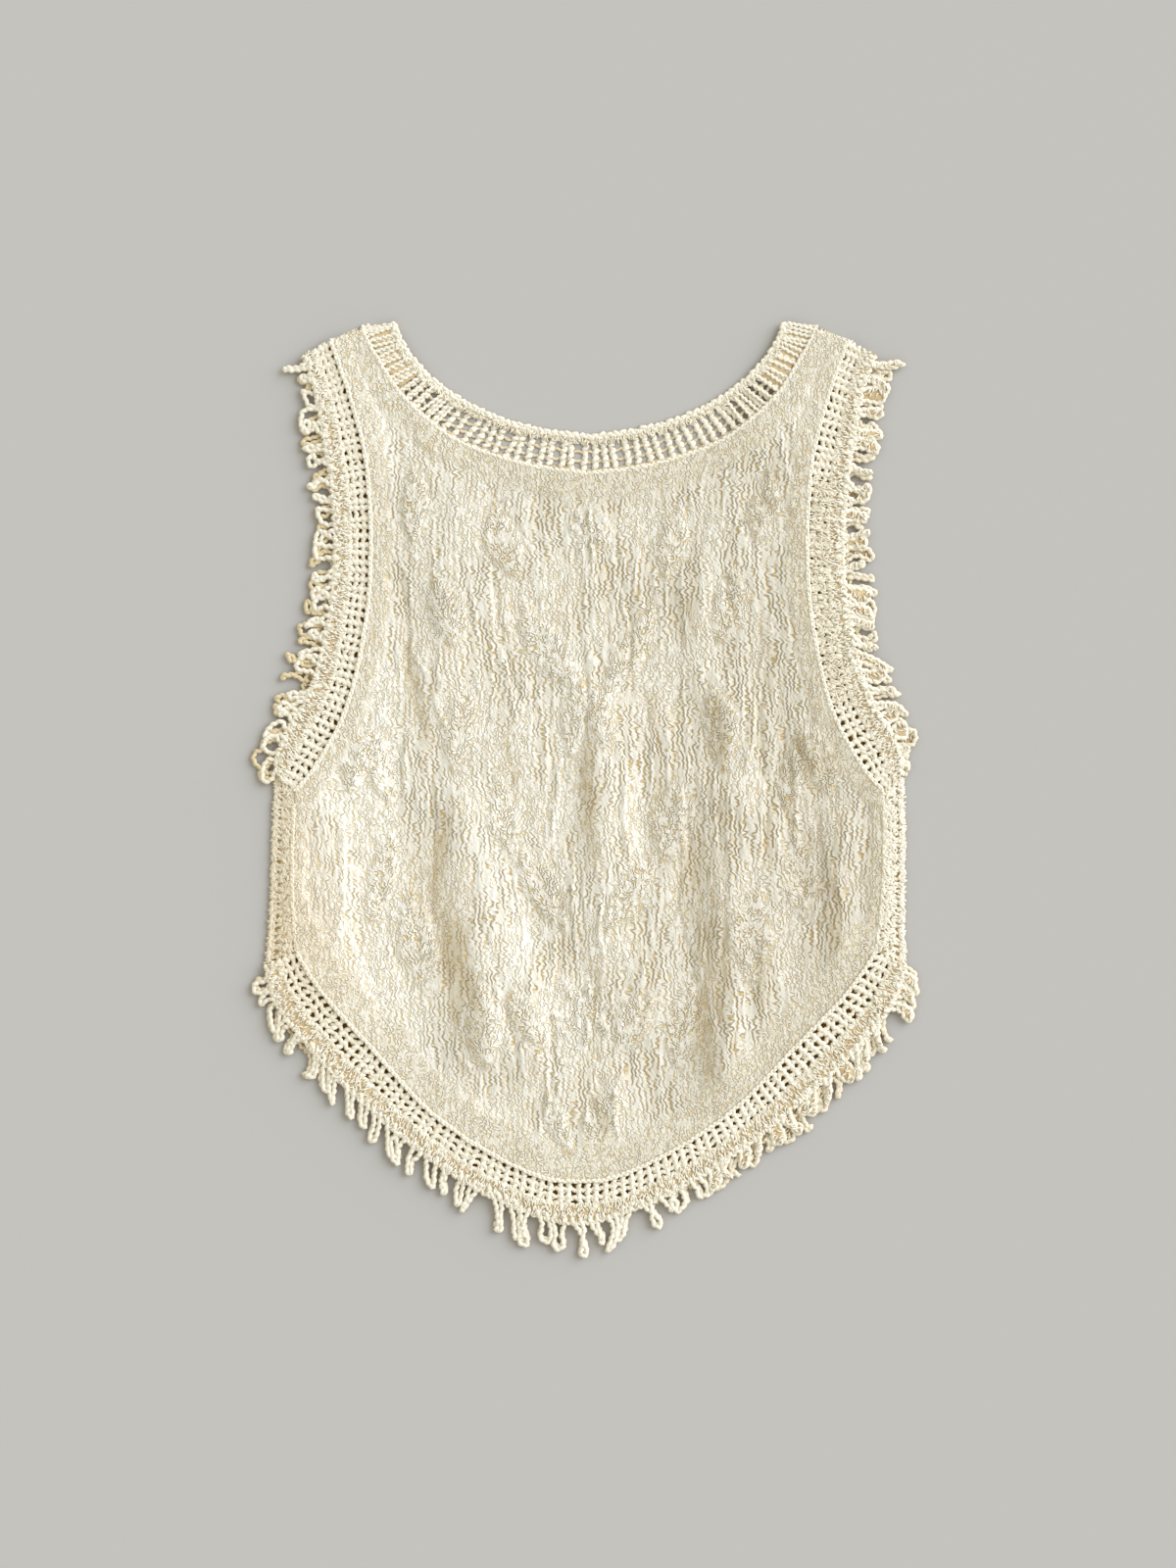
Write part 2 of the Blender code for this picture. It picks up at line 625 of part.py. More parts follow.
def add_loop(shape, before, inner, sections, level, outer_turn):
    """One loop, fused to the stretch of strip behind it. Returns what the next loop joins on to."""
    foot, crest = level - STRAND / 2, level + STRAND
    inner_foot, inner_top = (shape.verts.new(laid((*inner, z))) for z in (foot, crest))
    rings = [[shape.verts.new(p) for p in laid(section)] for section in sections]
    for ring, following in zip(rings, rings[1:]):
        for k in range(3):
            n = (k + 1) % 3
            shape.faces.new([ring[k], ring[n], following[n], following[k]])
    first, last = rings[0], rings[-1]
    if outer_turn > 0:     # the strand starts with its left side behind
        a_back, a_front = first[0], first[1]
        b_back, b_front = last[1], last[0]
    else:
        a_back, a_front = first[1], first[0]
        b_back, b_front = last[0], last[1]
    a_top, b_top = first[2], last[2]
    shape.faces.new([inner_top, a_top, b_top])
    for pair in ((a_back, a_front), (a_front, b_back), (b_back, b_front)):
        shape.faces.new([inner_foot, *pair])
    shape.faces.new([a_front, b_back, b_top, a_top])
    if before is None:
        shape.faces.new([inner_foot, a_back, a_top, inner_top])
    else:
        old_foot, old_top, old_front, old_crest = before
        shape.faces.new([old_top, old_crest, a_top, inner_top])
        shape.faces.new([old_foot, old_front, a_back, inner_foot])
        shape.faces.new([old_foot, inner_foot, inner_top, old_top])
        shape.faces.new([old_front, a_back, a_top, old_crest])
    return inner_foot, inner_top, b_front, b_top


def close_strip(shape, before):
    foot, top, front, crest = before
    shape.faces.new([foot, front, crest, top])


def main():
    clear_scene()
    add_front_panel()
    add_back_panel()
    add_neck_front()
    add_neck_back()
    add_plain_band("hem_band_front", "hem", 0, 1)
    add_ribbed_band("hem_band_back", "hem", 0, HEM_BARS)
    for word, side in (("left", -1), ("right", 1)):
        add_side_strip(f"side_strip_{word}", side)
        add_plain_band(f"armhole_band_front_{word}", "armhole", side, 2)
        add_ribbed_band(f"armhole_band_back_{word}", "armhole", side, ARMHOLE_BARS)
    for row in FRINGES:
        add_fringe(*row)


main()
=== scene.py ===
"""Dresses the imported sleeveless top: crinkled cloth, crocheted bands and strips, and looped fringe."""

import json
import math

import bpy
import numpy as np
from bpy.props import FloatProperty, FloatVectorProperty, IntProperty, PointerProperty
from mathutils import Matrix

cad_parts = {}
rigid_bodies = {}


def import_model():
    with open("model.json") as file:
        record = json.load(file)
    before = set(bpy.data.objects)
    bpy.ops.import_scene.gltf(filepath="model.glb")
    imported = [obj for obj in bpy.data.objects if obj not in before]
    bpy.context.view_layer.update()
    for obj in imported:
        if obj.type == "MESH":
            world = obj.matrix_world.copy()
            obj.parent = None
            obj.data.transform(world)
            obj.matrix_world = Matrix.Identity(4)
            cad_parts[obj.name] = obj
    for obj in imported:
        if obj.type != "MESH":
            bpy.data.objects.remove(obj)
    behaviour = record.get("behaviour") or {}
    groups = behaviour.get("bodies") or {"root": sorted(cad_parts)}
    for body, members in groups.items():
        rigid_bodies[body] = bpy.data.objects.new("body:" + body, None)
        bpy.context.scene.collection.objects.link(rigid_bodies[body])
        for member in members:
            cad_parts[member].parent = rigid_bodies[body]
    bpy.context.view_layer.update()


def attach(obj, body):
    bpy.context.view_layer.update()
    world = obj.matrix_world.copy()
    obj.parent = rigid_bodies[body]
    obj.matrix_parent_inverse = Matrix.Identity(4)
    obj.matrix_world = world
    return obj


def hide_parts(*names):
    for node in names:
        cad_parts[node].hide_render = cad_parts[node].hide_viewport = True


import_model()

bl_info = {
    "name": "Crochet trimmed top",
    "version": (1, 0, 0),
    "blender": (4, 5, 0),
    "location": "3D View > Sidebar > Top",
    "description": "Makes the cloth, the crochet and the fringe of a sleeveless top that lies flat",
    "category": "Add Mesh",
}


def metres(rows, lengths=None):
    """A table given in millimetres, in metres. With lengths, only so many of its columns are lengths."""
    table = np.array(rows, float)
    table[:, :lengths] /= 1000
    return table


# Sizes that the solids share, in metres
CLOTH_WALL = 0.0014
FACING_WALL = 0.0022
LAYER = 0.0030             # height of the back layer's underside over the front layer
CURVE_STEPS = 12           # points of a smooth line for each of its rows
# Half outlines, right side, as (x, y). The left side mirrors them.
NECK_SEAM = metres([
    (0, 206), (30.5, 209.6), (53.3, 214.8), (89.7, 228.8), (123.5, 256.8), (141, 283.4), (150.5, 301),
])
NECK_EDGE = metres([
    (0, 232), (34, 236.5), (55.5, 242.3), (84.8, 256), (108.7, 274.3), (121.8, 290.3), (128.5, 306),
])
ARMHOLE_SEAM = metres([
    (171.6, 294.5), (168, 285), (158, 255.5), (148.3, 217.7), (144.4, 162), (148.2, 104.6), (162, 46.8),
    (183, 9), (195, -5),
])
ARMHOLE_EDGE = metres([
    (190, 283), (182.7, 264), (174.5, 218), (170.6, 190), (169.5, 140), (178, 85.8), (188, 56),
    (200, 36), (207, 19), (208, 6),
])
SIDE_SEAM = metres([(195, -5), (196, -40), (195, -80), (192, -111)])
SIDE_EDGE = metres([(208, 6), (209.3, -32), (210.5, -90), (212.5, -120)])
SHOULDER = metres([(150.5, 301), (171.6, 294.5)])
HEM_SEAM = metres([
    (0, -263), (20.5, -261.3), (61.5, -243), (102, -214.8), (139.8, -174.9), (170, -142.7),
    (183, -125.5), (192, -111),
])
HEM_EDGE = metres([
    (0, -292.5), (21, -288.5), (61.5, -272), (104.6, -244.7), (134, -221), (164, -194), (196, -158.6),
    (207, -141), (212.5, -120),
])
CENTRE_BANDS = {"neck": (NECK_SEAM, NECK_EDGE), "hem": (HEM_SEAM, HEM_EDGE)}
# The front neckline, (x / half width)^power + (drop / depth)^power = 1
NECK_TOP = 0.3040
NECK_POWER = 2.2
FRONT_NECK_EDGE = (0.1270, 0.1780)    # half width, depth
FRONT_NECK_SEAM = (0.1505, 0.2030)
NECK_DROP_FROM = 1.0                  # where the back layer starts down to the surface, and where it is down
NECK_DROP_TO = 0.70
# Below the underarms the centre line drifts to the left.
DRIFT = 0.00715
DRIFT_LENGTH = 0.260
# Largest folds of the back: (top x, top y, bottom x, bottom y, height, half width)
FOLDS = metres([
    (-80, -20, -66, -170, 4.6, 20), (-36, -128, -27, -184, 2.2, 14), (-90, 125, -92, 52, 2.2, 16),
    (7, 48, 11, -100, 3.4, 14), (44, -50, 40, -160, 3, 15), (76, 138, 75, 64, 2, 13),
    (98, 46, 97, -8, 2.4, 13), (94, -14, 96, -196, 5.2, 19), (126, -22, 120, -130, 2.4, 12),
    (168, -30, 166, -106, 2.6, 12),
])
FOLD_END = 0.030
SEAM_CALM = 0.09           # share of the panel next to its seams where the folds die out

# Steep flanks of the broad soft folds: (top x, top y, bottom x, bottom y, half width, slope).
# With a slope over 0 the cloth rises to the right, and with one under 0 it falls.
FLANKS = metres([
    (-110, -5, -97, -130, 19, 0.27), (-95, -80, -78, -190, 18, 0.31), (-2, 44, 0, -82, 7, 0.34),
    (3, -108, 5, -160, 6, 0.26), (70, -22, 78, -120, 17, 0.28), (77, -80, 84, -225, 13, 0.34),
    (60, 138, 72, 80, 9, 0.2), (82, 76, 83, -4, 9, 0.26), (142, 44, 143, -10, 6, 0.39),
    (160, -48, 165, -124, 6, 0.47), (-116, 120, -106, -10, 8, 0.2), (-172, -75, -170, -126, 6, 0.23),
    (4, -200, 6, -248, 4, 0.39), (-58, 40, -52, -30, 6, 0.21), (40, 70, 46, 10, 6, 0.21),
    (117, 120, 121, 40, 6, 0.21), (118, -90, 112, -170, 6, 0.26), (-131, 150, -134, 0, 8, -0.29),
    (-154, 40, -148, -160, 23, -0.14), (-64, -48, -34, -140, 11, -0.19),
    (-28, -110, -38, -210, 9, -0.19), (27, 32, 36, -78, 9, -0.34), (26, -128, 26, -232, 7, -0.26),
    (100, -118, 104, -210, 7, -0.31), (128, -6, 138, -90, 7, -0.31),
], lengths=5)
FLANK_REACH = 2.6          # half widths over which the cloth comes back to its level
FLANK_FORM = 1.2           # how sharply a flank bends at its foot and its top
LOWEST_BACK = 0.0018       # the back layer's underside stays over the front layer
# Narrow creases in the thin cloth: (start x, start y, end x, end y, height, half width)
CREASES = metres([
    (-122, 98, -104, 66, 1, 1.3), (-104, 66, -94, 30, 0.8, 1.4), (-62, 112, -50, 98, 0.9, 1.1),
    (-118, 40, -124, -10, 1.2, 1.8), (-20, 20, -24, -46, 1.2, 1.8), (22, 20, 27, -60, 1.3, 1.9),
    (-12, -30, -8, -98, 1.3, 1.7), (6, -70, 12, -118, 1.2, 1.6), (-48, -60, -40, -120, 1.2, 1.8),
    (60, 4, 64, -70, 1.3, 2), (110, 60, 104, 4, 1.2, 1.8), (134, 30, 140, -50, 1.2, 2),
    (78, -80, 74, -140, 1.2, 1.6), (-164, -20, -160, -86, 1.3, 2), (-150, 40, -156, -10, 1.1, 1.7),
    (156, -50, 150, -110, 1.1, 1.7), (-86, -172, -70, -196, 1, 1.4), (20, -196, 26, -240, 1.3, 1.6),
    (-22, -200, -26, -238, 1.2, 1.6), (2, -206, 4, -246, 1.2, 1.5),
])
CREASE_BEND = 0.0012
# Long soft troughs between the folds, in millimetres: (depth, half width, points down the trough)
TROUGHS = [
    (1.1, 1.8, [(62, 10), (66, -40), (58, -80), (66, -110), (72, -150)]),
    (1, 2.2, [(36, -90), (40, -120), (36, -150), (26, -180)]),
    (1, 2.4, [(82, 0), (90, -60), (88, -120), (84, -190)]),
    (1, 2.2, [(-108, 30), (-102, -30), (-104, -80), (-92, -140)]),
    (0.9, 2, [(-80, -70), (-62, -120), (-50, -170), (-44, -205)]),
    (0.8, 1.8, [(-10, 110), (-2, 70), (-4, 20), (-10, -40)]),
    (0.8, 1.6, [(20, 150), (28, 100), (22, 60)]),
    (0.9, 1.8, [(-66, 160), (-60, 110), (-50, 70), (-34, 30)]),
    (1, 2, [(118, 90), (112, 40), (118, -10), (114, -70)]),
    (1, 2, [(148, -10), (154, -60), (150, -110)]),
    (0.8, 1.8, [(-128, 150), (-120, 100), (-124, 50)]),
    (0.8, 1.8, [(-150, -10), (-140, -60), (-130, -110), (-112, -150)]),
    (0.9, 1.8, [(-24, -60), (-18, -110), (-26, -160), (-16, -210)]),
    (0.8, 1.6, [(96, 180), (90, 140), (98, 100)]),
]

# Uneven places: (height, distance across, distance down, seed of the noise)
FLANK_WANDER = [(0.0080, 0.035, 0.050, 51), (0.0030, 0.012, 0.018, 52)]
TROUGH_WANDER = [(0.0016, 0.009, 0.012, 61)]
WANDER_ACROSS = [(0.0060, 0.040, 0.060, 1), (0.0022, 0.009, 0.010, 2)]
WANDER_DOWN = [(0.0060, 0.030, 0.030, 3)]
PATCHES = [(1.0, 0.030, 0.050, 11), (0.7, 0.013, 0.026, 12)]
LIVELINESS = [(0.35, 0.018, 0.022, 13)]
ROLLS = [(0.00095, 0.022, 0.065, 8)]
FRONT_PATCHES = [(1.0, 0.030, 0.050, 23)]
# Crests of the crinkles: (spacing, length, sharpness, seed), of the narrow ones without the spacing
BROAD_CRESTS = (0.0090, 0.034, 1.1, 4)
NARROW_CRESTS = (0.0160, 1.2, 5)
PEBBLES = (0.0036, 0.0050, 0.9, 6)
PLEATS = (0.0105, 0.080, 2.2, 7)
FRONT_HOLLOWS = (0.0080, 0.030, 1.4, 21)
FRONT_CRESTS = (0.0080, 0.024, 1.4, 22)

# Woven leaves, thicker than the ground. Each is mirrored: (base x, base y, length, width, turn in degrees)
LEAVES = metres([
    (6, 52, 84, 34, 30), (12, 16, 56, 32, -6), (50, 128, 64, 34, 10), (12, -108, 78, 34, 26),
    (46, -60, 72, 40, 10), (92, 4, 70, 36, -10), (84, 86, 66, 34, 16), (18, -182, 62, 34, 32),
    (64, -196, 70, 38, 4), (108, -140, 80, 42, 6), (144, -96, 70, 36, -8), (130, -24, 68, 34, 14),
    (160, -10, 54, 28, -12), (114, 154, 62, 30, 4), (4, -248, 56, 30, 22),
], lengths=4)
# Woven flowers on the centre line: (x, y, radius, petals)
FLOWERS = metres([(0, 166, 26, 8), (0, 52, 20, 6), (0, -150, 30, 8)], lengths=3)
VEIN_PITCH = 0.0052
LEAF_FAN = 0.55            # how far a leaf's grooves lean outwards for each unit up
GROOVE_SPACING = 0.0040
VEIN_TURN = 0.55           # rise of a leaf's side veins, as a share of how far they run out
# Doubled cloth along the seams: (seam, width, how far its inner edge strays, height of its roll)
FACINGS = [
    (HEM_SEAM, 0.0190, 0.0035, 0.0006), (NECK_SEAM, 0.0130, 0.0030, 0.0006),
    (ARMHOLE_SEAM, 0.0095, 0.0022, 0.0012), (SIDE_SEAM, 0.0060, 0.0025, 0.0000),
    (SHOULDER, 0.0060, 0.0010, 0.0012),
]
FACING_EDGE = 0.0075       # over which a facing's inner edge steps down
RIM_FADE = 0.0040          # next to the cloth's rim, where its relief dies down
RIM_RELIEF = 0.35          # to this share of it
RELIEF_SINK = 0.0004       # how far the bottom of the relief is under the wall's full thickness
UNDERSIDE_ROWS = (14, 38)  # rows of the back's underside beside the side seam and beside the armhole
FRONT_CELLS = (64, 16, 48)     # columns of the front, and rows beside its side seam and its armhole
FRONT_RIM_FADE = 0.0060
FRONT_CREST = 0.0003
FRONT_HOLLOW = 0.0004
# The fine crinkle of the material: distance between its grooves in the thin weave and in the dense one
WIDE_GROOVES = 0.0037
CLOSE_GROOVES = 0.0030
# Painted shade: how much darker and tanner the cloth's colour is made between its crinkles, in its troughs
# and on steep flanks
CRINKLE_SHADE = 0.30
TROUGH_SHADE = 160
RISE_SHADE = 1.4
# Painted light: the cloth's colour is made lighter to the left of this line: (y, x)
BRIGHT_LEFT = metres([(-236, -94), (-63, -127), (170, -148)])
BRIGHT_EDGE = 0.024
WARM_PLACE = (-0.200, -0.095, 0.050, 0.080)    # middle x, y and reach in x, y of the warmer colour
WARM_TINT = 0.12
# The panels as cut, from seam to seam: width and length, and area in square metres
BACK_CUT, BACK_CUT_AREA = (0.392, 0.564), 0.1535
FRONT_CUT, FRONT_CUT_AREA = (0.392, 0.565), 0.1288

# Crocheted bands of the hem and the armholes: (place, layer, seed)
EDGE_BANDS = [("hem", "back", 41), ("hem", "front", 42), ("left", "back", 52), ("left", "front", 56),
              ("right", "back", 54), ("right", "front", 58)]
HEM_BARS = 85
ARMHOLE_BARS = 53
MESH_SHARE = 0.56          # share of a hem or armhole band that is open mesh, the rest is close stitches
MESH_ROWS = 3
BAR_END = 0.66             # share of the band's width at which a bar ends under the close stitches
SHEET_END = 0.955          # and the sheet under the close stitches
EDGE_AT = 0.965            # and where the strand of its edge runs, and how high
EDGE_LIFT = 0.0014
CLOSE_STITCHES = 22        # for each bar
MATTED_RIGHT = (0.30, 0.80)    # shares of the right armhole where its mesh is matted
MATTED_STITCHES = 420
# Bands of the neck: (layer, seed, bars)
NECK_BANDS = [("back", 61, 50), ("front", 62, 72)]
NECK_ROWS = [0.0022, 0.0044, 0.0016, 0.0044, 0.0016, 0.0044, 0.0069]   # from the seam: odd ones are gaps
NECK_END = 0.22            # share of the band at each end where extra bars close it
NECK_END_BARS = 17
SCALLOP_PARTS = 12         # of the edge's line, for each bar
SCALLOP_HEIGHT = 0.0018
STRIP_RUNGS = 29
STRIP_DOWN = 0.2130        # how far out a strip's upper layer is down on the surface
STRIP_FALL = 0.0170        # and over which it comes down
# The side strips: (side, seed, tint, height of the close stitches). The tint is painted shade, given to the
# left strip, which faces away from the light.
SIDE_STRIPS = [("left", 70, 0.12, 0.0010), ("right", 72, 0.0, 0.0016)]
# Sheets under a strip's stitches: (start, end, height, rows, tint, or None for the strip's own). The tint is
# painted shade, darkest on the lower middle sheet.
STRIP_SHEETS = [(0.04, 0.58, 0.0013, 5, None), (0.58, 0.74, 0.0007, 3, 0.85), (0.74, 0.96, 0.0013, 3, None)]
STRIP_STITCHES = [(0.00, 0.58, 440), (0.76, 0.97, 200)]    # (start, end, number)
# Strands of the crochet. Their tint is painted shade, strongest on the neck's rungs and foot, which lie
# lower.
RUNG = dict(pitch=0.0050, sway=0.0006, sides=6, tint=0.10, squash=0.7)
EDGE_STRAND = dict(pitch=0.0046, sway=0.0008, radius=0.0014)
NECK_BAR = dict(pitch=0.0046, sway=0.00085, radius=0.00205, squash=0.20)
NECK_ARCH = dict(pitch=0.0036, sway=0.0003, radius=0.00135, squash=0.35)
NECK_RUNG = dict(pitch=0.0072, sway=0.0005, radius=0.00120, tint=0.42, squash=0.20)
NECK_FOOT = dict(pitch=0.0046, sway=0.0003, radius=0.00120, tint=0.55, squash=0.3)
NECK_END_BAR = dict(pitch=0.0036, sway=0.00045, radius=0.00125, squash=0.7)
STRIP_RUNG = dict(pitch=0.0036, sway=0.0003, radius=0.00125, squash=0.7)
STRIP_FOLD = dict(pitch=0.0050, sway=0.0005, radius=0.0016, sides=8, squash=0.9)
# One leg of a chain stitch: (share of the stitch, of the half width, of the rise, of the radius)
STITCH_LEG = np.array([(-0.12, 0.15, 0.30, 0.62), (0.18, 0.85, 0.90, 1.00), (0.66, 1.00, 0.60, 1.00),
                       (1.12, 0.20, -0.20, 0.60)])

# Rows of fringe: (place, layer, seed, loops, mean reach, how much shorter they curl up, place of a loop)
FRINGES = [
    ("hem", "back", 127, 47, 0.0190, 0.0034, 0.50), ("hem", "front", 127, 47, 0.0165, 0.0034, 0.50),
    ("left", "back", 104, 25, 0.0175, 0.0040, 0.50), ("left", "front", 104, 25, 0.0170, 0.0040, 0.95),
    ("right", "back", 106, 25, 0.0180, 0.0024, 0.50), ("right", "front", 106, 25, 0.0170, 0.0024, 0.80),
]
# Loops that stray from their row, in millimetres: {loop: (reach, lean along the edge)}
STRAYS = {
    ("left", "back"): {0: (21.5, 1), 1: (12, 0), 2: (12.5, 0), 23: (15, 1), 24: (12.5, 6)},
    ("left", "front"): {0: (13, 0), 1: (10, 0), 2: (11, 0), 24: (15, 3)},
    ("right", "back"): {0: (20.5, -2), 21: (15, 0), 22: (13, -1), 23: (9, 0), 24: (7, 0)},
    ("right", "front"): {23: (7, 0), 24: (5, 0)},
    ("hem", "back"): {0: (20, 0), 45: (16, 0), 46: (16, 3)},
}
SIDES = {"hem": 0, "left": -1, "right": 1}
LOOP_BEND = 0.0016
LOOP_WANDER = 0.0012
LOOP_INSIDE = 0.0032       # how far inside the band's edge a loop starts
LOOP_END = 0.0008          # how far a loop's tip stays short of its reach
LOOP_LIFT = 0.0011         # height of a loop over the surface it lies on
LOOP_CLEAR = 0.0004        # least gap between a loop and the floor
LOOP_OVER = 0.0013         # how much higher its roots are
LOOP_DROOP = 0.0012        # how far a back loop's tip sinks
LOOSE_SPREAD = 0.0037
LEFT_SPREAD = 1.25         # how much wider the left armhole's back loops lie
CORNER_TURN = 0.50         # at the hem's right corner the loops point outwards
LONGER_MIDDLE = 0.0034     # the hem's middle loops hang lower
SHORTER_RIGHT = 0.0024     # and those to the right of them less
HEM_PART = 0.12            # share of the hem that each of these reaches
REACH_CHANGE = 0.14
LEAN = 0.0018
# LOWER_TINT is painted shade on the lower layer's loops; WEB_TINT is painted shade in the gaps inside a
# matted loop.
LOWER_TINT = 0.15          # of the lower layer's loops
MATTED_FROM = 0.66         # share of the hem from which loops are matted, as they are on the right
WEB_TINT = 0.60            # of the gaps between the close stitches inside a matted loop
WEB_STITCHES = 16
TANGENT_SPAN = 0.2
# Loops as they lie: rows of (share of the reach, share of the leg spread), from the root to the tip
OPEN_LOOP = [(-0.06, 0.90), (0.25, 0.85), (0.55, 1.05), (0.84, 1.00), (0.99, 0.48)]
RING_LOOP = [(-0.06, 0.80), (0.28, 0.50), (0.50, -0.10), (0.62, -0.15), (0.82, 0.62), (0.99, 0.36)]
TWIST_LOOP = [(-0.06, 0.80), (0.26, 0.55), (0.45, 0.05), (0.64, -0.26), (0.84, -0.34), (0.99, -0.16)]
SHUT_LOOP = [(-0.06, 0.70), (0.28, 0.45), (0.56, 0.32), (0.82, 0.36), (0.99, 0.20)]
NARROW_LOOP = [(-0.06, 0.90), (0.28, 0.70), (0.56, 0.66), (0.84, 0.72), (0.99, 0.36)]
LOOP_SHAPES = [OPEN_LOOP, NARROW_LOOP, TWIST_LOOP, OPEN_LOOP, RING_LOOP, SHUT_LOOP, NARROW_LOOP]
# Which way the loops hang: (x, towards their side; y) and its share against the edge's own normal
HANG = {"hem": (0.0, -1.0, 0.80), "armhole": (1.0, -0.15, 0.60)}
HANG_EASE = 0.30
# How the front layer peeps out past the back layer: (place, middle, half length, dx, dy)
FRONT_PEEPS = [("left", 0.70, 0.30, -0.0070, 0.0), ("right", 0.62, 0.34, 0.0045, 0.0),
               ("hem", 0.76, 0.22, 0.0040, -0.0040), ("hem", 0.10, 0.09, -0.0030, -0.0020)]

# Stage
FLOOR_SIZE = 8.0
FLOOR_DROP = 0.0002
KEY_PLACE = (1.0, 0.55, 0.56)    # the direction that the large soft light comes from
KEY_COLOUR = (0.98, 1.0, 1.09)
ROOM_COLOUR = (1.0, 0.950, 0.835)
CAMERA_ASIDE = -0.00065


# Curves in the plane, as the solids have them

def between(p, q, start, end, t):
    return ((end - t) * p + (t - start) * q) / (end - start)


def smooth_line(rows):
    """A smooth curve through the rows: a centripetal Catmull-Rom spline."""
    rows = np.array(rows, float)
    points = np.vstack([2 * rows[0] - rows[1], rows, 2 * rows[-1] - rows[-2]])
    steps = np.linalg.norm(np.diff(points, axis=0), axis=1) ** 0.5
    knots = np.concatenate([[0], np.cumsum(steps)])
    line = []
    for i in range(1, len(points) - 2):
        t = np.linspace(knots[i], knots[i + 1], CURVE_STEPS, endpoint=False)[:, None]
        a = [between(points[i + k - 1], points[i + k], knots[i + k - 1], knots[i + k], t) for k in range(3)]
        b = [between(a[k], a[k + 1], knots[i + k - 1], knots[i + k + 1], t) for k in range(2)]
        line.append(between(b[0], b[1], knots[i], knots[i + 1], t))
    return np.vstack(line + [rows[-1:]])


def both_sides(half):
    """The whole line, from the left end to the right end, of a half that starts on the centre line."""
    return np.vstack([half[:0:-1] * (-1, 1), half])


def along(line, shares):
    """Points at the given shares of a line's length."""
    length = np.concatenate([[0], np.cumsum(np.linalg.norm(np.diff(line, axis=0), axis=1))])
    at = np.asarray(shares) * length[-1]
    return np.stack([np.interp(at, length, line[:, k]) for k in range(line.shape[1])], axis=-1)


def length_of(line):
    return float(np.linalg.norm(np.diff(line, axis=0), axis=1).sum())


def unit(vectors):
    """Vectors of length 1."""
    return vectors / (np.linalg.norm(vectors, axis=-1, keepdims=True) + 1e-12)


def right_of(runs):
    """Directions in the plane that point to the right of the runs."""
    return np.stack([runs[..., 1], -runs[..., 0]], axis=-1)


def neck_curve(half_width, depth):
    """Half of the front neckline, from the centre to the shoulder."""
    turn = np.linspace(0, math.pi / 2, 3 * CURVE_STEPS)
    x = half_width * np.sin(turn) ** (2 / NECK_POWER)
    y = NECK_TOP - depth * np.cos(turn) ** (2 / NECK_POWER)
    return np.column_stack([x, y])


def ease(value):
    value = np.clip(value, 0, 1)
    return value * value * (3 - 2 * value)


def bell(offset):
    return np.exp(-offset ** 2)


def laid(points):
    """Moves points to where they lie, with the drift of the centre line."""
    points = np.array(points, float)
    below = np.clip(-points[..., 1], 0, None) / DRIFT_LENGTH
    points[..., 0] -= DRIFT * below ** 1.5
    return points


def raised(flat, height):
    return np.concatenate([flat, np.broadcast_to(height, flat.shape[:-1])[..., None]], axis=-1)


# Heights. Each takes the places' x and y.

def noise(x, y, seed):
    """Smooth repeatable noise on the plane, from about -1 to 1, that turns about once a unit."""
    i, j = np.floor(x).astype(np.int64), np.floor(y).astype(np.int64)
    u, v = x - i, y - j

    def corner(a, b):
        mix = ((i + a) * 374761393 + (j + b) * 668265263 + seed * 1442695041) & 0xFFFFFFFF
        mix = ((mix ^ (mix >> 13)) * 1274126177) & 0xFFFFFFFF
        turn = ((mix ^ (mix >> 16)) & 0xFFFF) / 65536 * 2 * math.pi
        return np.cos(turn) * (u - a) + np.sin(turn) * (v - b)

    fade_u, fade_v = (t ** 3 * (t * (6 * t - 15) + 10) for t in (u, v))
    low = corner(0, 0) * (1 - fade_u) + corner(1, 0) * fade_u
    high = corner(0, 1) * (1 - fade_u) + corner(1, 1) * fade_u
    return 1.6 * (low * (1 - fade_v) + high * fade_v)


def uneven(x, y, rows):
    return sum(height * noise(x / across, y / down, seed) for height, across, down, seed in rows)


def crests(x, y, spacing, length, sharpness, seed):
    """Narrow wandering crests: 1 on top and 0 in the troughs between them."""
    return np.clip(1 - 1.7 * np.abs(noise(x / spacing, y / length, seed)), 0, 1) ** sharpness


def back_height(x, y):
    """Height of the back layer's underside."""
    half_width, depth = FRONT_NECK_EDGE
    drop = np.clip(NECK_TOP - y, 0, None)
    share = ((np.abs(x) / half_width) ** NECK_POWER + (drop / depth) ** NECK_POWER) ** (1 / NECK_POWER)
    return LAYER * (1 - ease((NECK_DROP_FROM - share) / (NECK_DROP_FROM - NECK_DROP_TO)))


def front_height(x, y):
    return np.zeros_like(x)


def strip_height(x, y):
    """Height of a side strip's upper layer, which comes down to the surface round the fold."""
    return back_height(x, y) * ease((STRIP_DOWN - np.abs(x)) / STRIP_FALL)


def beside(x, y, top_x, top_y, bottom_x, bottom_y):
    """How far down a slanting line from its top each place is, as a share, and how far to its right."""
    down = (top_y - y) / (top_y - bottom_y)
    return down, x - (top_x + (bottom_x - top_x) * np.clip(down, 0, 1))


def fold_height(x, y):
    """Height that the largest folds add."""
    height = np.zeros_like(x)
    for top_x, top_y, bottom_x, bottom_y, crest, half_width in FOLDS:
        _, off = beside(x, y, top_x, top_y, bottom_x, bottom_y)
        past = np.maximum(y - top_y, bottom_y - y)
        height += crest * (1 - ease(past / FOLD_END)) * bell(off / half_width)
    return height


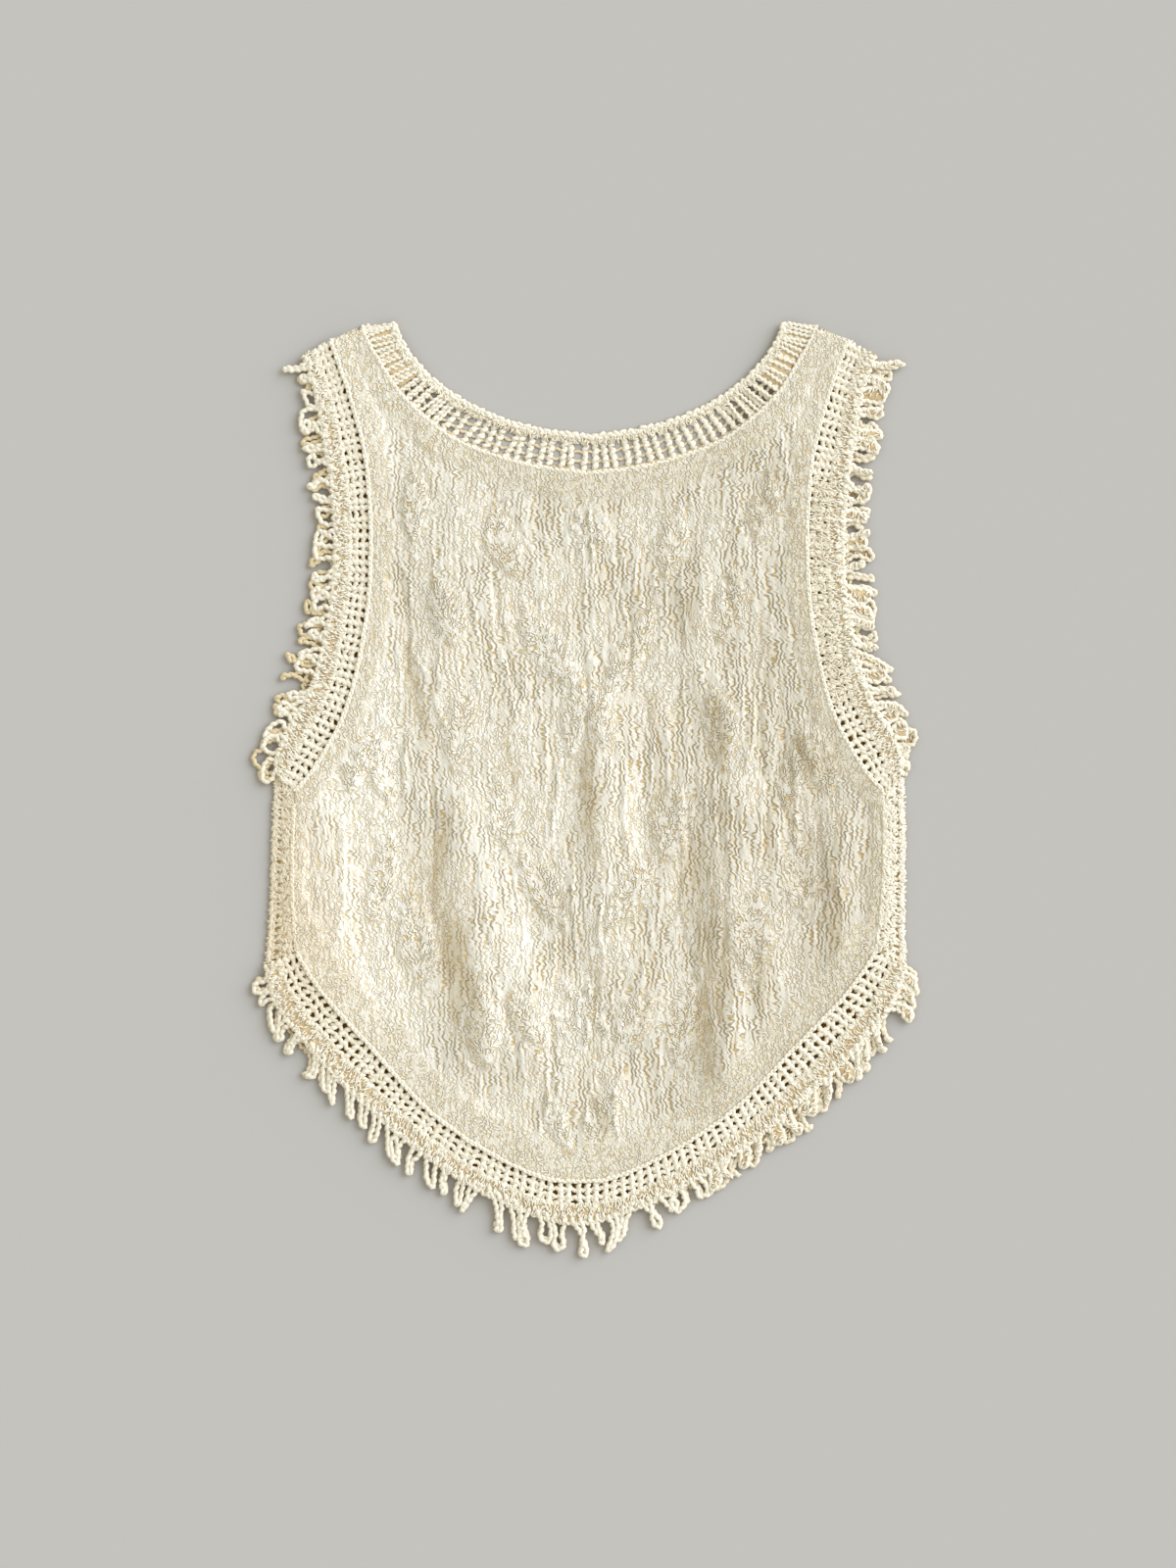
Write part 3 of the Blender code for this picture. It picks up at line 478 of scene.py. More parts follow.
def flank_height(x, y):
    """Height that the steep flanks add and take away, fading to their pointed ends."""
    height = np.zeros_like(x)
    x = x + uneven(x, y, FLANK_WANDER)
    for *ends, half_width, slope in FLANKS:
        down, off = beside(x, y, *ends)
        off = off / half_width
        length = ease(2.6 * np.clip(np.minimum(down, 1 - down), 0, 1))
        step = slope * half_width / FLANK_FORM * np.tanh(FLANK_FORM * off)
        height += length * step * bell(off / FLANK_REACH)
    return height


def crease_height(x, y):
    height = np.zeros_like(x)
    for start_x, start_y, end_x, end_y, crest, half_width in CREASES:
        run = np.array([end_x - start_x, end_y - start_y])
        t = ((x - start_x) * run[0] + (y - start_y) * run[1]) / (run @ run)
        bend = CREASE_BEND * np.sin(7 * t + 40 * start_x)
        off = ((x - start_x) * run[1] - (y - start_y) * run[0]) / np.linalg.norm(run) + bend
        height += crest * ease(4 * np.clip(np.minimum(t, 1 - t), 0, 1)) * bell(off / half_width)
    return height


def trough_depth(x, y):
    """Depth of the long troughs, which fade towards their ends."""
    depth = np.zeros_like(x)
    wander = uneven(x, y, TROUGH_WANDER)
    for deepest, half_width, points in TROUGHS:
        line = smooth_line(metres(points))
        order = np.argsort(line[:, 1])
        middle = np.interp(y, line[order, 1], line[order, 0])
        low, high = line[order[0], 1], line[order[-1], 1]
        ends = ease(4 * np.minimum(y - low, high - y) / (high - low))
        across = bell((x - middle + wander) / half_width * 1000)
        depth = np.maximum(depth, deepest / 1000 * ends * across)
    return depth


# Shares of the cloth, from 0 to 1

def leaf_share(x, y, base_x, base_y, length, width, turn):
    """1 inside a leaf and 0 outside, its veins, and how far the grooves are moved so that they fan out."""
    turn = math.radians(turn)
    up = ((x - base_x) * math.sin(turn) + (y - base_y) * math.cos(turn)) / length
    out = ((x - base_x) * math.cos(turn) - (y - base_y) * math.sin(turn)) / (width / 2)
    half = np.sin(math.pi * np.clip(up, 0, 1)) ** 0.7
    inside = ease((half - np.abs(out)) * 1.6) * (half > 0)
    vein = (up * length - VEIN_TURN * np.abs(out) * width / 2) / VEIN_PITCH
    return inside, vein, -LEAF_FAN * np.sign(out) * up * length


def flower_share(x, y, centre_x, centre_y, radius, petals):
    away = np.hypot(x - centre_x, y - centre_y) / radius
    turn = np.arctan2(y - centre_y, x - centre_x)
    reach = 0.72 + 0.28 * np.cos(petals * turn)
    return ease((reach - away) * 2.4), away * radius / VEIN_PITCH, 0.0


def motifs(x, y):
    """Share of thick weave in leaves and flowers, the crests of their veins, and their grooves' turn."""
    thick, veins, aside = np.zeros_like(x), np.zeros_like(x), np.zeros_like(x)
    ahead = np.ones_like(x)
    shapes = [leaf_share(np.abs(x), y, *row) for row in LEAVES]
    shapes += [flower_share(x, y, *row) for row in FLOWERS]
    for inside, vein, moved in shapes:
        on_top = inside > thick
        veins = np.where(on_top, inside * (0.5 + 0.5 * np.cos(2 * math.pi * vein)), veins)
        phase = math.pi / GROOVE_SPACING * moved * np.sign(x) + math.pi
        phase = (phase % (2 * math.pi) - math.pi) * inside
        ahead = np.where(on_top, np.cos(phase), ahead)
        aside = np.where(on_top, np.sin(phase), aside)
        thick = np.maximum(thick, inside)
    return thick, veins, ahead, aside


def distance_to(line, x, y):
    """Distance from each place to the nearest point of a line."""
    nearest = np.full(x.shape, np.inf)
    for px, py in line:
        nearest = np.minimum(nearest, (x - px) ** 2 + (y - py) ** 2)
    return np.sqrt(nearest)


def facing_share(x, y):
    """1 where the cloth is doubled along a seam, with a ragged inner edge, and its soft roll's height."""
    doubled, roll = np.zeros_like(x), np.zeros_like(x)
    for number, (rows, width, stray, rise) in enumerate(FACINGS):
        away = distance_to(smooth_line(rows)[::2], np.abs(x), y)
        away = away + stray * uneven(x, y, [(1, 0.007, 0.007, 31 + number), (1, 0.022, 0.022, 41 + number)])
        doubled = np.maximum(doubled, 1 - ease((away - width) / FACING_EDGE))
        roll = np.maximum(roll, rise * (1 - ease(away / (width + FACING_EDGE))))
    return doubled, roll


def warm_share(x, y):
    """1 at the lower left, where the top is warmer in colour."""
    from_x, from_y, over_x, over_y = WARM_PLACE
    return bell((x - from_x) / over_x) * bell((y - from_y) / over_y)


# Panels

def side_line(side_rows, armhole_rows):
    """The right side of a panel, from the hem's corner up to the shoulder."""
    line = []
    for rows, parts in ((SIDE_SEAM, side_rows), (ARMHOLE_SEAM, armhole_rows)):
        seam = smooth_line(rows)[::-1]
        y = np.linspace(seam[0, 1], seam[-1, 1], parts + 1)
        line.append(np.column_stack([np.interp(y, seam[:, 1], seam[:, 0]), y]))
    return np.vstack([line[0], line[1][1:]])


def patch(left, right, bottom, top, up):
    """A Coons patch, [column][row], between four lines. up says how far up each row is."""
    over, up = np.linspace(0, 1, len(bottom))[:, None, None], up[None, :, None]
    ends = (1 - up) * bottom[:, None] + up * top[:, None]
    sides = (1 - over) * left[None] + over * right[None]
    low = (1 - over) * left[0] + over * right[0]
    high = (1 - over) * left[-1] + over * right[-1]
    return ends + sides - (1 - up) * low - up * high


def level_with(line, x):
    """The points of a line at the given x."""
    return np.column_stack([x, np.interp(x, *line.T)])


def panel_grid(columns, side_rows, armhole_rows, neck, low_neck=False):
    """A panel's points, [column][row], with the shares across it and up it."""
    right = side_line(side_rows, armhole_rows)
    shares = np.linspace(0, 1, columns + 1)
    bottom = level_with(both_sides(smooth_line(HEM_SEAM)), (2 * shares - 1) * right[0, 0])
    neck = np.vstack([right[-1] * (-1, 1), neck, right[-1]])
    if low_neck:
        top, up = along(neck, shares), np.arange(len(right)) / (len(right) - 1)
        right = along(right, up)
    else:
        top = level_with(neck, (2 * shares - 1) * right[-1, 0])
        up = (right[:, 1] - right[0, 1]) / (right[-1, 1] - right[0, 1])
    return patch(right * (-1, 1), right, bottom, top, up), shares, up


def calm(shares, up):
    """1 inside the panel and 0 at its seams."""
    across = ease(shares / SEAM_CALM) * ease((1 - shares) / SEAM_CALM)
    lengthwise = ease(up / SEAM_CALM) * ease((1 - up) / SEAM_CALM)
    return across[:, None] * lengthwise[None]


def rim_of(grid):
    """A grid's outer points in order, once round."""
    return np.concatenate([grid[:-1, 0], grid[-1, :-1], grid[:0:-1, -1], grid[0, :0:-1]])


def grid_faces(numbers, flipped=False):
    a, b, c, d = numbers[:-1, :-1], numbers[1:, :-1], numbers[1:, 1:], numbers[:-1, 1:]
    faces = np.stack([a, b, c, d], axis=-1).reshape(-1, 4)
    return (faces[:, ::-1] if flipped else faces).tolist()


def shell_faces(top, low, flipped=False):
    """The faces of a closed shell between two grids of point numbers."""
    top_rim, low_rim = rim_of(top), rim_of(low)
    walls = np.stack([low_rim, np.roll(low_rim, -1), np.roll(top_rim, -1), top_rim], axis=-1)
    walls = walls[:, ::-1] if flipped else walls
    return grid_faces(top, flipped) + grid_faces(low, not flipped) + walls.tolist()


def fine_shell_faces(top, low, step):
    """The same, where the upper grid has so many steps for each step of the lower one."""
    faces = grid_faces(top) + grid_faces(low, flipped=True)
    top_rim, low_rim = rim_of(top).tolist(), rim_of(low).tolist()
    for k, here in enumerate(low_rim):
        there = low_rim[(k + 1) % len(low_rim)]
        stretch = [top_rim[(k * step + s) % len(top_rim)] for s in range(step + 1)]
        for s in range(step):
            faces.append([here if s < step // 2 else there, stretch[s + 1], stretch[s]])
            if s == step // 2 - 1:
                faces.append([here, there, stretch[s + 1]])
    return faces


def grid_numbers(points, start=0):
    return start + np.arange(points[..., 0].size).reshape(points.shape[:2])


def make_mesh(name, points, faces):
    mesh = bpy.data.meshes.new(name)
    mesh.from_pydata([tuple(p) for p in points], [], faces)
    mesh.validate()
    mesh.shade_smooth()
    thing = bpy.data.objects.new(name, mesh)
    bpy.context.scene.collection.objects.link(thing)
    return thing


def set_value(thing, name, values):
    """Stores a number for each point, for the materials."""
    layer = thing.data.attributes.new(name, "FLOAT", "POINT")
    layer.data.foreach_set("value", np.asarray(values, np.float32))


def finish_piece(thing, material, slot, *nodes):
    thing.data.materials.append(material)
    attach(thing, "root")
    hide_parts(*nodes)


def make_back_cloth(cloth, colours):
    """The back panel. Its underside is plain and has fewer cells."""
    coarse = cloth.underside_step
    columns = cloth.columns - cloth.columns % coarse
    rows = (coarse * number for number in UNDERSIDE_ROWS)
    grid, shares, up = panel_grid(columns, *rows, both_sides(smooth_line(NECK_SEAM)))
    x, y = grid[..., 0], grid[..., 1]
    still = calm(shares, up)
    doubled, seam_roll = facing_share(x, y)
    single = 1 - doubled
    lying_x, lying_y = np.moveaxis(laid(grid), -1, 0)
    flank = flank_height(lying_x, lying_y) * still

    drift_x, drift_y = x + uneven(x, y, WANDER_ACROSS), y + uneven(x, y, WANDER_DOWN)
    thick, veins, ahead, aside = motifs(drift_x, drift_y)
    patches = uneven(drift_x, drift_y, PATCHES)
    ground = 0.70 * ease(0.42 - 1.6 * x + 0.80 * patches)
    dense = np.maximum(np.maximum(thick, ground), doubled)

    broad, pebble, pleat = (crests(drift_x, drift_y, *row) for row in (BROAD_CRESTS, PEBBLES, PLEATS))
    narrow = crests(drift_x, drift_y, cloth.crinkle_spacing, *NARROW_CRESTS)
    close = (0.75 + uneven(x, y, LIVELINESS)) * (0.40 * broad + 0.28 * narrow) + 0.12 * veins
    body = dense * close + (1 - dense) * (0.60 * pleat + 0.16 * narrow)
    crinkle = body * single + (0.08 + 0.12 * pebble + 0.20 * narrow) * doubled
    outline = 4 * thick * (1 - thick)
    trough = trough_depth(lying_x, lying_y)
    smooth_relief = cloth.motif_height * thick - cloth.outline_depth * outline - trough
    smooth_relief += uneven(x, y, ROLLS) + crease_height(x, y)
    relief = cloth.crinkle_height * crinkle + smooth_relief * single
    rim_fade = RIM_RELIEF + (1 - RIM_RELIEF) * ease(distance_to(rim_of(grid)[::3], x, y) / RIM_FADE)
    under = back_height(x, y) + fold_height(x, y) * still
    under = np.maximum(under + flank, np.minimum(under, LOWEST_BACK))
    wall = CLOTH_WALL + (FACING_WALL - CLOTH_WALL) * doubled
    top = laid(raised(grid, under + wall + relief * rim_fade + seam_roll - RELIEF_SINK))
    below = laid(raised(grid, under))[::coarse, ::coarse]
    top_numbers = grid_numbers(top)
    faces = fine_shell_faces(top_numbers, grid_numbers(below, top_numbers.size), coarse)
    piece = make_mesh("back_cloth", np.vstack([top.reshape(-1, 3), below.reshape(-1, 3)]), faces)

    # Painted shade: the colour turns darker and tan between the crinkles, in the troughs, and on flanks that
    # rise to the right, away from the key light.
    reach = 0.001
    rise = flank_height(lying_x + reach, lying_y) - flank_height(lying_x - reach, lying_y)
    rise *= still / (2 * reach)
    hollow = CRINKLE_SHADE * np.clip(1 - 3.6 * crinkle, 0, 1) + TROUGH_SHADE * trough
    hollow += RISE_SHADE * np.clip(rise - 0.04, 0, 0.30)
    # Mix of cream and thin colour: the dense weave and random patches are paler; besides this, painted light
    # makes the cloth lighter to the left and painted shade makes it darker to the right, with changes at the
    # shoulders and near the top.
    bright_to = np.interp(y, *BRIGHT_LEFT.T)
    right = np.maximum(x, 0)
    pale = 0.52 - 3.2 * right + 0.34 * ease((bright_to - x) / BRIGHT_EDGE + 0.5)
    pale += 0.15 * patches + 0.15 * (dense - 0.5)
    pale += 0.75 * ease((y - 0.185) / 0.06) * ease((np.abs(x) - 0.10) / 0.05)
    pale += (2.2 * right - 0.13) * ease((y - 0.07) / 0.08)
    blank = np.zeros(below[..., 0].size)
    for name, values in (("dense", dense), ("facing", doubled), ("pale", np.clip(pale, 0, 1)),
                         ("hollow", np.clip(hollow * single, 0, 1)), ("warm", warm_share(x, y)),
                         ("ahead", ahead), ("aside", aside)):
        set_value(piece, name, np.append(values.ravel(), blank + (name == "ahead")))
    finish_piece(piece, crinkled_cloth(colours), "crinkled_cloth", "back_panel")


def front_neck_seam():
    return both_sides(neck_curve(*FRONT_NECK_SEAM))


def make_front_cloth(colours):
    """The front panel lies face down. It is plain, for the back hides it."""
    grid, _, _ = panel_grid(*FRONT_CELLS, front_neck_seam(), low_neck=True)
    x, y = grid[..., 0], grid[..., 1]
    fade = ease(distance_to(rim_of(grid), x, y) / FRONT_RIM_FADE)
    facing, _ = facing_share(x, y)
    hollow = crests(x, y, *FRONT_HOLLOWS)
    top = laid(raised(grid, CLOTH_WALL - FRONT_CREST * (1 - crests(x, y, *FRONT_CRESTS)) * fade))
    low = laid(raised(grid, FRONT_HOLLOW * (1 - hollow) * fade))
    faces = shell_faces(grid_numbers(top), grid_numbers(low, x.size))
    piece = make_mesh("front_cloth", np.vstack([top.reshape(-1, 3), low.reshape(-1, 3)]), faces)
    dense = np.maximum(facing, ease(0.6 + uneven(x, y, FRONT_PATCHES)))
    # Painted shade in the front's hollows too; its paleness is only that of its weave.
    for name, values in (("dense", dense), ("facing", facing), ("pale", dense), ("hollow", 1 - hollow),
                         ("warm", 0 * x), ("ahead", 1 + 0 * x), ("aside", 0 * x)):
        set_value(piece, name, np.append(values.ravel(), values.ravel()))
    finish_piece(piece, crinkled_cloth(colours), "crinkled_cloth", "front_panel")


# Crochet

class Band:
    """A strip of crochet between its seam and its outer edge."""

    def __init__(self, seam, outer, height):
        self.seam, self.outer, self.height = seam, outer, height

    def at(self, share, across, lift):
        """Points at a share of the length and of the width, and at a height over the underside."""
        share, across, lift = np.broadcast_arrays(share, across, lift)
        near, far = along(self.seam, share), along(self.outer, share)
        flat = near + (far - near) * across[..., None]
        return raised(flat, self.height(flat[..., 0], flat[..., 1]) + lift)

    def row(self, across, lift, parts=400):
        """A line along the band."""
        return self.at(np.linspace(0, 1, parts), across, lift)

    def bar(self, share, start, end, lift, slant=0.0):
        """A line across the band."""
        t = np.linspace(0, 1, 8)
        return self.at(share + slant * t, start + (end - start) * t, lift)

    def part(self, shares):
        """The stretch of the band at these shares of its length."""
        return Band(along(self.seam, shares), along(self.outer, shares), self.height)


def peep(line, place):
    """The front layer's edge, moved out where it shows past the back layer."""
    shares = np.linspace(0, 1, len(line))
    moved = line.copy()
    for peep_place, middle, half_length, dx, dy in FRONT_PEEPS:
        if peep_place == place:
            reach = np.clip(np.abs(shares - middle) / half_length, 0, 1)
            moved += np.cos(reach * math.pi / 2)[:, None] ** 2 * (dx, dy)
    return moved


def band_of(place, layer):
    """The band of the neck, of the hem, or of the left or right armhole."""
    if (place, layer) == ("neck", "front"):
        seam, outer = front_neck_seam(), both_sides(neck_curve(*FRONT_NECK_EDGE))
    elif place in CENTRE_BANDS:
        seam, outer = (both_sides(smooth_line(rows)) for rows in CENTRE_BANDS[place])
    else:
        seam, outer = (smooth_line(rows) * (SIDES[place], 1) for rows in (ARMHOLE_SEAM, ARMHOLE_EDGE))
    if layer == "front":
        outer = peep(along(outer, np.linspace(0, 1, 200)), place)
    return Band(seam, outer, back_height if layer == "back" else front_height)


class Skein:
    """Gathers strands of yarn, and makes one mesh of them."""

    def __init__(self, name, seed, yarn):
        self.name, self.yarn = name, yarn
        self.chance = np.random.default_rng(seed)
        self.points, self.faces, self.uvs, self.tints, self.count = [], [], [], [], 0

    def add(self, points, faces, uvs, tint):
        points = laid(points.reshape(-1, 3))
        self.points.append(points)
        self.faces += faces
        self.uvs.append(uvs)
        self.tints.append(np.full(len(points), tint))
        self.count += len(points)

    def strands(self, paths, radii, sides, tint, squash=1.0):
        """Closed tubes round paths [strand][point], with a radius for each point."""
        strands, steps = paths.shape[:2]
        runs = unit(np.gradient(paths, axis=1))
        side = unit(np.cross(runs, (0.0, 0.0, 1.0)))
        up = np.cross(side, runs)
        turn = np.arange(sides)[:, None] * 2 * math.pi / sides
        ring = side[:, :, None] * np.cos(turn) + squash * up[:, :, None] * np.sin(turn)
        points = paths[:, :, None] + ring * radii[:, :, None, None]
        numbers = self.count + np.arange(strands * steps * sides).reshape(strands, steps, sides)
        a, b = numbers[:, :-1], numbers[:, 1:]
        quads = np.stack([a, b, np.roll(b, -1, axis=2), np.roll(a, -1, axis=2)], axis=-1)
        lengths = np.linalg.norm(np.diff(paths, axis=1), axis=2)
        done = np.concatenate([np.zeros((strands, 1)), np.cumsum(lengths, axis=1)], axis=1)
        low = np.arange(sides) / sides
        start, end, low, _ = np.broadcast_arrays(done[:, :-1, None], done[:, 1:, None], low, a)
        high = low + 1 / sides
        u, v = (np.stack(corners, axis=-1) for corners in ((start, end, end, start), (low, low, high, high)))
        places = np.stack([u, v], axis=-1).reshape(-1, 2)
        ends = numbers[:, 0].tolist() + numbers[:, -1, ::-1].tolist()
        end_places = np.tile((0, 0.25), (2 * strands * sides, 1))
        self.add(points, quads.reshape(-1, 4).tolist() + ends, np.vstack([places, end_places]), tint)

    def chain(self, path, pitch, half_width, radius, rise=0.0004, sides=5, tint=0.0):
        """Chain stitches along a path: two legs each, which swap from side to side."""
        count = max(1, round(length_of(path) / pitch))
        ahead, out, lift, thick = STITCH_LEG.T
        step = 0.3 / count
        for leg, shift in ((-1, 0.0), (1, 0.5)):
            share = np.clip((np.arange(count)[:, None] + ahead + shift) / count, 0, 1)
            centre = along(path, share)
            run = along(path, np.clip(share + step, 0, 1)) - along(path, np.clip(share - step, 0, 1))
            width = half_width * out * leg * (1 + 0.12 * self.chance.normal(size=(count, 1)))
            centre[..., :2] += unit(right_of(run)) * width[..., None]
            centre[..., 2] += rise * lift
            centre += self.yarn.unevenness * self.chance.normal(size=(count, 1, 3)) * (1, 1, 0.5)
            radii = radius * thick * (1 + 0.07 * self.chance.normal(size=(count, 1)))
            self.strands(centre, radii, sides, tint)

    def knobby(self, path, pitch, sway, radius, rise=0.0002, sides=5, tint=0.0, squash=0.8):
        """One plump strand that zigzags along a path, thicker at each turn."""
        length = length_of(path)
        steps = max(6, round(5 * length / pitch))
        share = np.linspace(0, 1, steps)
        centre = along(path, share)
        side = unit(right_of(np.gradient(centre[:, :2], axis=0)))
        phase = 2 * math.pi * (share * length / pitch + self.chance.uniform())
        swing = sway * np.sin(phase) * (1 + 0.4 * self.chance.normal(size=steps))
        centre[:, :2] += side * swing[:, None]
        centre[:, 2] += rise * np.cos(phase)
        radii = radius * (1 - 0.05 * np.cos(2 * phase)) * (1 + 0.06 * self.chance.normal(size=steps))
        self.strands(centre[None], radii[None], sides, tint, squash)

    def stitches(self, band, start, end, number, size, radius, lift, turn=0.6, tint=0.0):
        """Short stitches over one another, mostly across a band, as in close matted crochet."""
        chance = self.chance
        share = (np.arange(number) + chance.uniform(size=number)) / number
        across = start + (end - start) * chance.uniform(size=number)
        foot = band.at(share, across, 0.0)[:, :2]
        outward = unit(band.at(share, across + 0.01, 0.0)[:, :2] - foot)
        aside = right_of(outward)
        angle = (turn * chance.normal(size=number))[:, None]
        run = outward * np.cos(angle) + aside * np.sin(angle)
        cross = aside * np.cos(angle) - outward * np.sin(angle)
        t = np.array([-0.5, -0.22, 0.22, 0.5])
        arch = 1 - (2 * t) ** 2
        bend = 0.15 * size * chance.normal(size=(number, 1)) * arch
        flat = foot[:, None] + run[:, None] * (t * size)[:, None] + cross[:, None] * bend[..., None]
        level = lift + 0.0003 * chance.normal(size=(number, 1)) + 0.0006 * arch
        paths = raised(flat, band.height(flat[..., 0], flat[..., 1]) + level)
        radii = radius * (0.60 + 0.40 * arch) * (1 + 0.10 * chance.normal(size=(number, 1)))
        self.strands(paths, radii, 4, tint)

    def ribbon(self, band, start, end, lift, columns, rows, tint=0.35):
        """A plain sheet under close stitches. Its tint is painted shade, for the gaps between them."""
        share, across = np.linspace(0, 1, columns)[:, None], np.linspace(start, end, rows)[None]
        top, low = band.at(share, across, lift), band.at(share, across, 0.0001)
        over, up = top[1, 0, :2] - top[0, 0, :2], top[0, 1, :2] - top[0, 0, :2]
        numbers = grid_numbers(top, self.count)
        faces = shell_faces(numbers, numbers + numbers.size, flipped=over[0] * up[1] <= over[1] * up[0])
        self.add(np.concatenate([top, low]), faces, np.zeros((4 * len(faces), 2)), tint)

    def make(self, material, slot, *nodes):
        points = np.vstack(self.points)
        points[:, 2] = np.maximum(points[:, 2], 0.0)
        piece = make_mesh(self.name, points, self.faces)
        layer = piece.data.uv_layers.new(name="strand")
        uvs = np.vstack(self.uvs).astype(np.float32)
        if len(layer.data) != len(uvs):
            raise RuntimeError(f"{self.name} has {len(layer.data)} corners and {len(uvs)} places")
        layer.data.foreach_set("uv", uvs.ravel())
        # The tint attribute is painted shade on strands and sheets that lie low or in shade; the lower left
        # also gets a warmer colour through it.
        warm = WARM_TINT * warm_share(points[:, 0], points[:, 1])
        set_value(piece, "tint", np.clip(np.concatenate(self.tints) + warm, 0, 1))
        finish_piece(piece, material, slot, *nodes)


def mesh_band(skein, band, bars, matted):
    """Three rows of small holes between bars and rungs, and close matted stitches on to the edge.

    matted is None, or the stretch of shares where close stitches fill most of the holes.
    """
    yarn, chance = skein.yarn, skein.chance
    for number in range(bars):
        share = (number + 0.5 + 0.06 * chance.normal()) / bars
        end = BAR_END + 0.07 * chance.normal()
        path = band.bar(share, 0.0, end, yarn.bar_lift, slant=0.12 * chance.normal() / bars)
        skein.knobby(path, yarn.bar_pitch, yarn.bar_sway, yarn.bar_radius, squash=0.6)
    for across in np.linspace(0.02, MESH_SHARE, MESH_ROWS + 1)[1:]:
        skein.knobby(band.row(across, yarn.rung_lift, 3 * bars), radius=yarn.rung_radius, **RUNG)
    # The tints of these stitches and of the sheet under the close stitches are painted shade.
    skein.stitches(band, 0.04, MESH_SHARE, round(2.8 * bars), size=0.0042, radius=0.0010, lift=0.0010,
                   turn=1.2, tint=0.15)
    if matted:
        skein.stitches(band.part(np.linspace(*matted, 40)), 0.05, MESH_SHARE, MATTED_STITCHES, size=0.0040,
                       radius=yarn.close_radius, lift=0.0022, tint=0.10)
    skein.chain(band.row(0.0, yarn.seam_lift), 0.0034, half_width=0.0006, radius=yarn.seam_radius)
    skein.ribbon(band, MESH_SHARE, SHEET_END, lift=0.0019, columns=2 * bars, rows=4, tint=0.42)
    skein.stitches(band, MESH_SHARE - 0.03, 0.985, CLOSE_STITCHES * bars, size=0.0034,
                   radius=yarn.close_radius, lift=0.0020, turn=0.45)
    skein.knobby(band.row(EDGE_AT, EDGE_LIFT), sides=6, **EDGE_STRAND)


def hidden_band(skein, band, bars):
    """The front's band, of which only the outer edge shows."""
    # Painted shade: a dark sheet fills the band under the back's open mesh, so that its holes look dark.
    skein.ribbon(band, 0.02, MESH_SHARE, lift=0.0005, columns=bars, rows=4, tint=1.0)
    skein.ribbon(band, MESH_SHARE, SHEET_END, lift=0.0014, columns=bars, rows=4)
    skein.stitches(band, MESH_SHARE, 0.99, 8 * bars, size=0.0042, radius=1.2 * skein.yarn.close_radius,
                   lift=0.0015)
    skein.knobby(band.row(EDGE_AT, EDGE_LIFT), **EDGE_STRAND)


def make_edge_bands(yarn, colours, places):
    """The bands of the hem or of the armholes, back and front."""
    for place, layer, seed in EDGE_BANDS:
        if place not in places:
            continue
        kind, end, bars = ("hem", "", HEM_BARS) if place == "hem" else ("armhole", f"_{place}", ARMHOLE_BARS)
        skein, band = Skein(f"{kind}_crochet_{layer}{end}", seed, yarn), band_of(place, layer)
        if layer == "back":
            mesh_band(skein, band, bars, MATTED_RIGHT if place == "right" else None)
        else:
            hidden_band(skein, band, bars)
        skein.make(yarn_material(colours, layer == "front"), "crochet_yarn", f"{kind}_band_{layer}{end}")


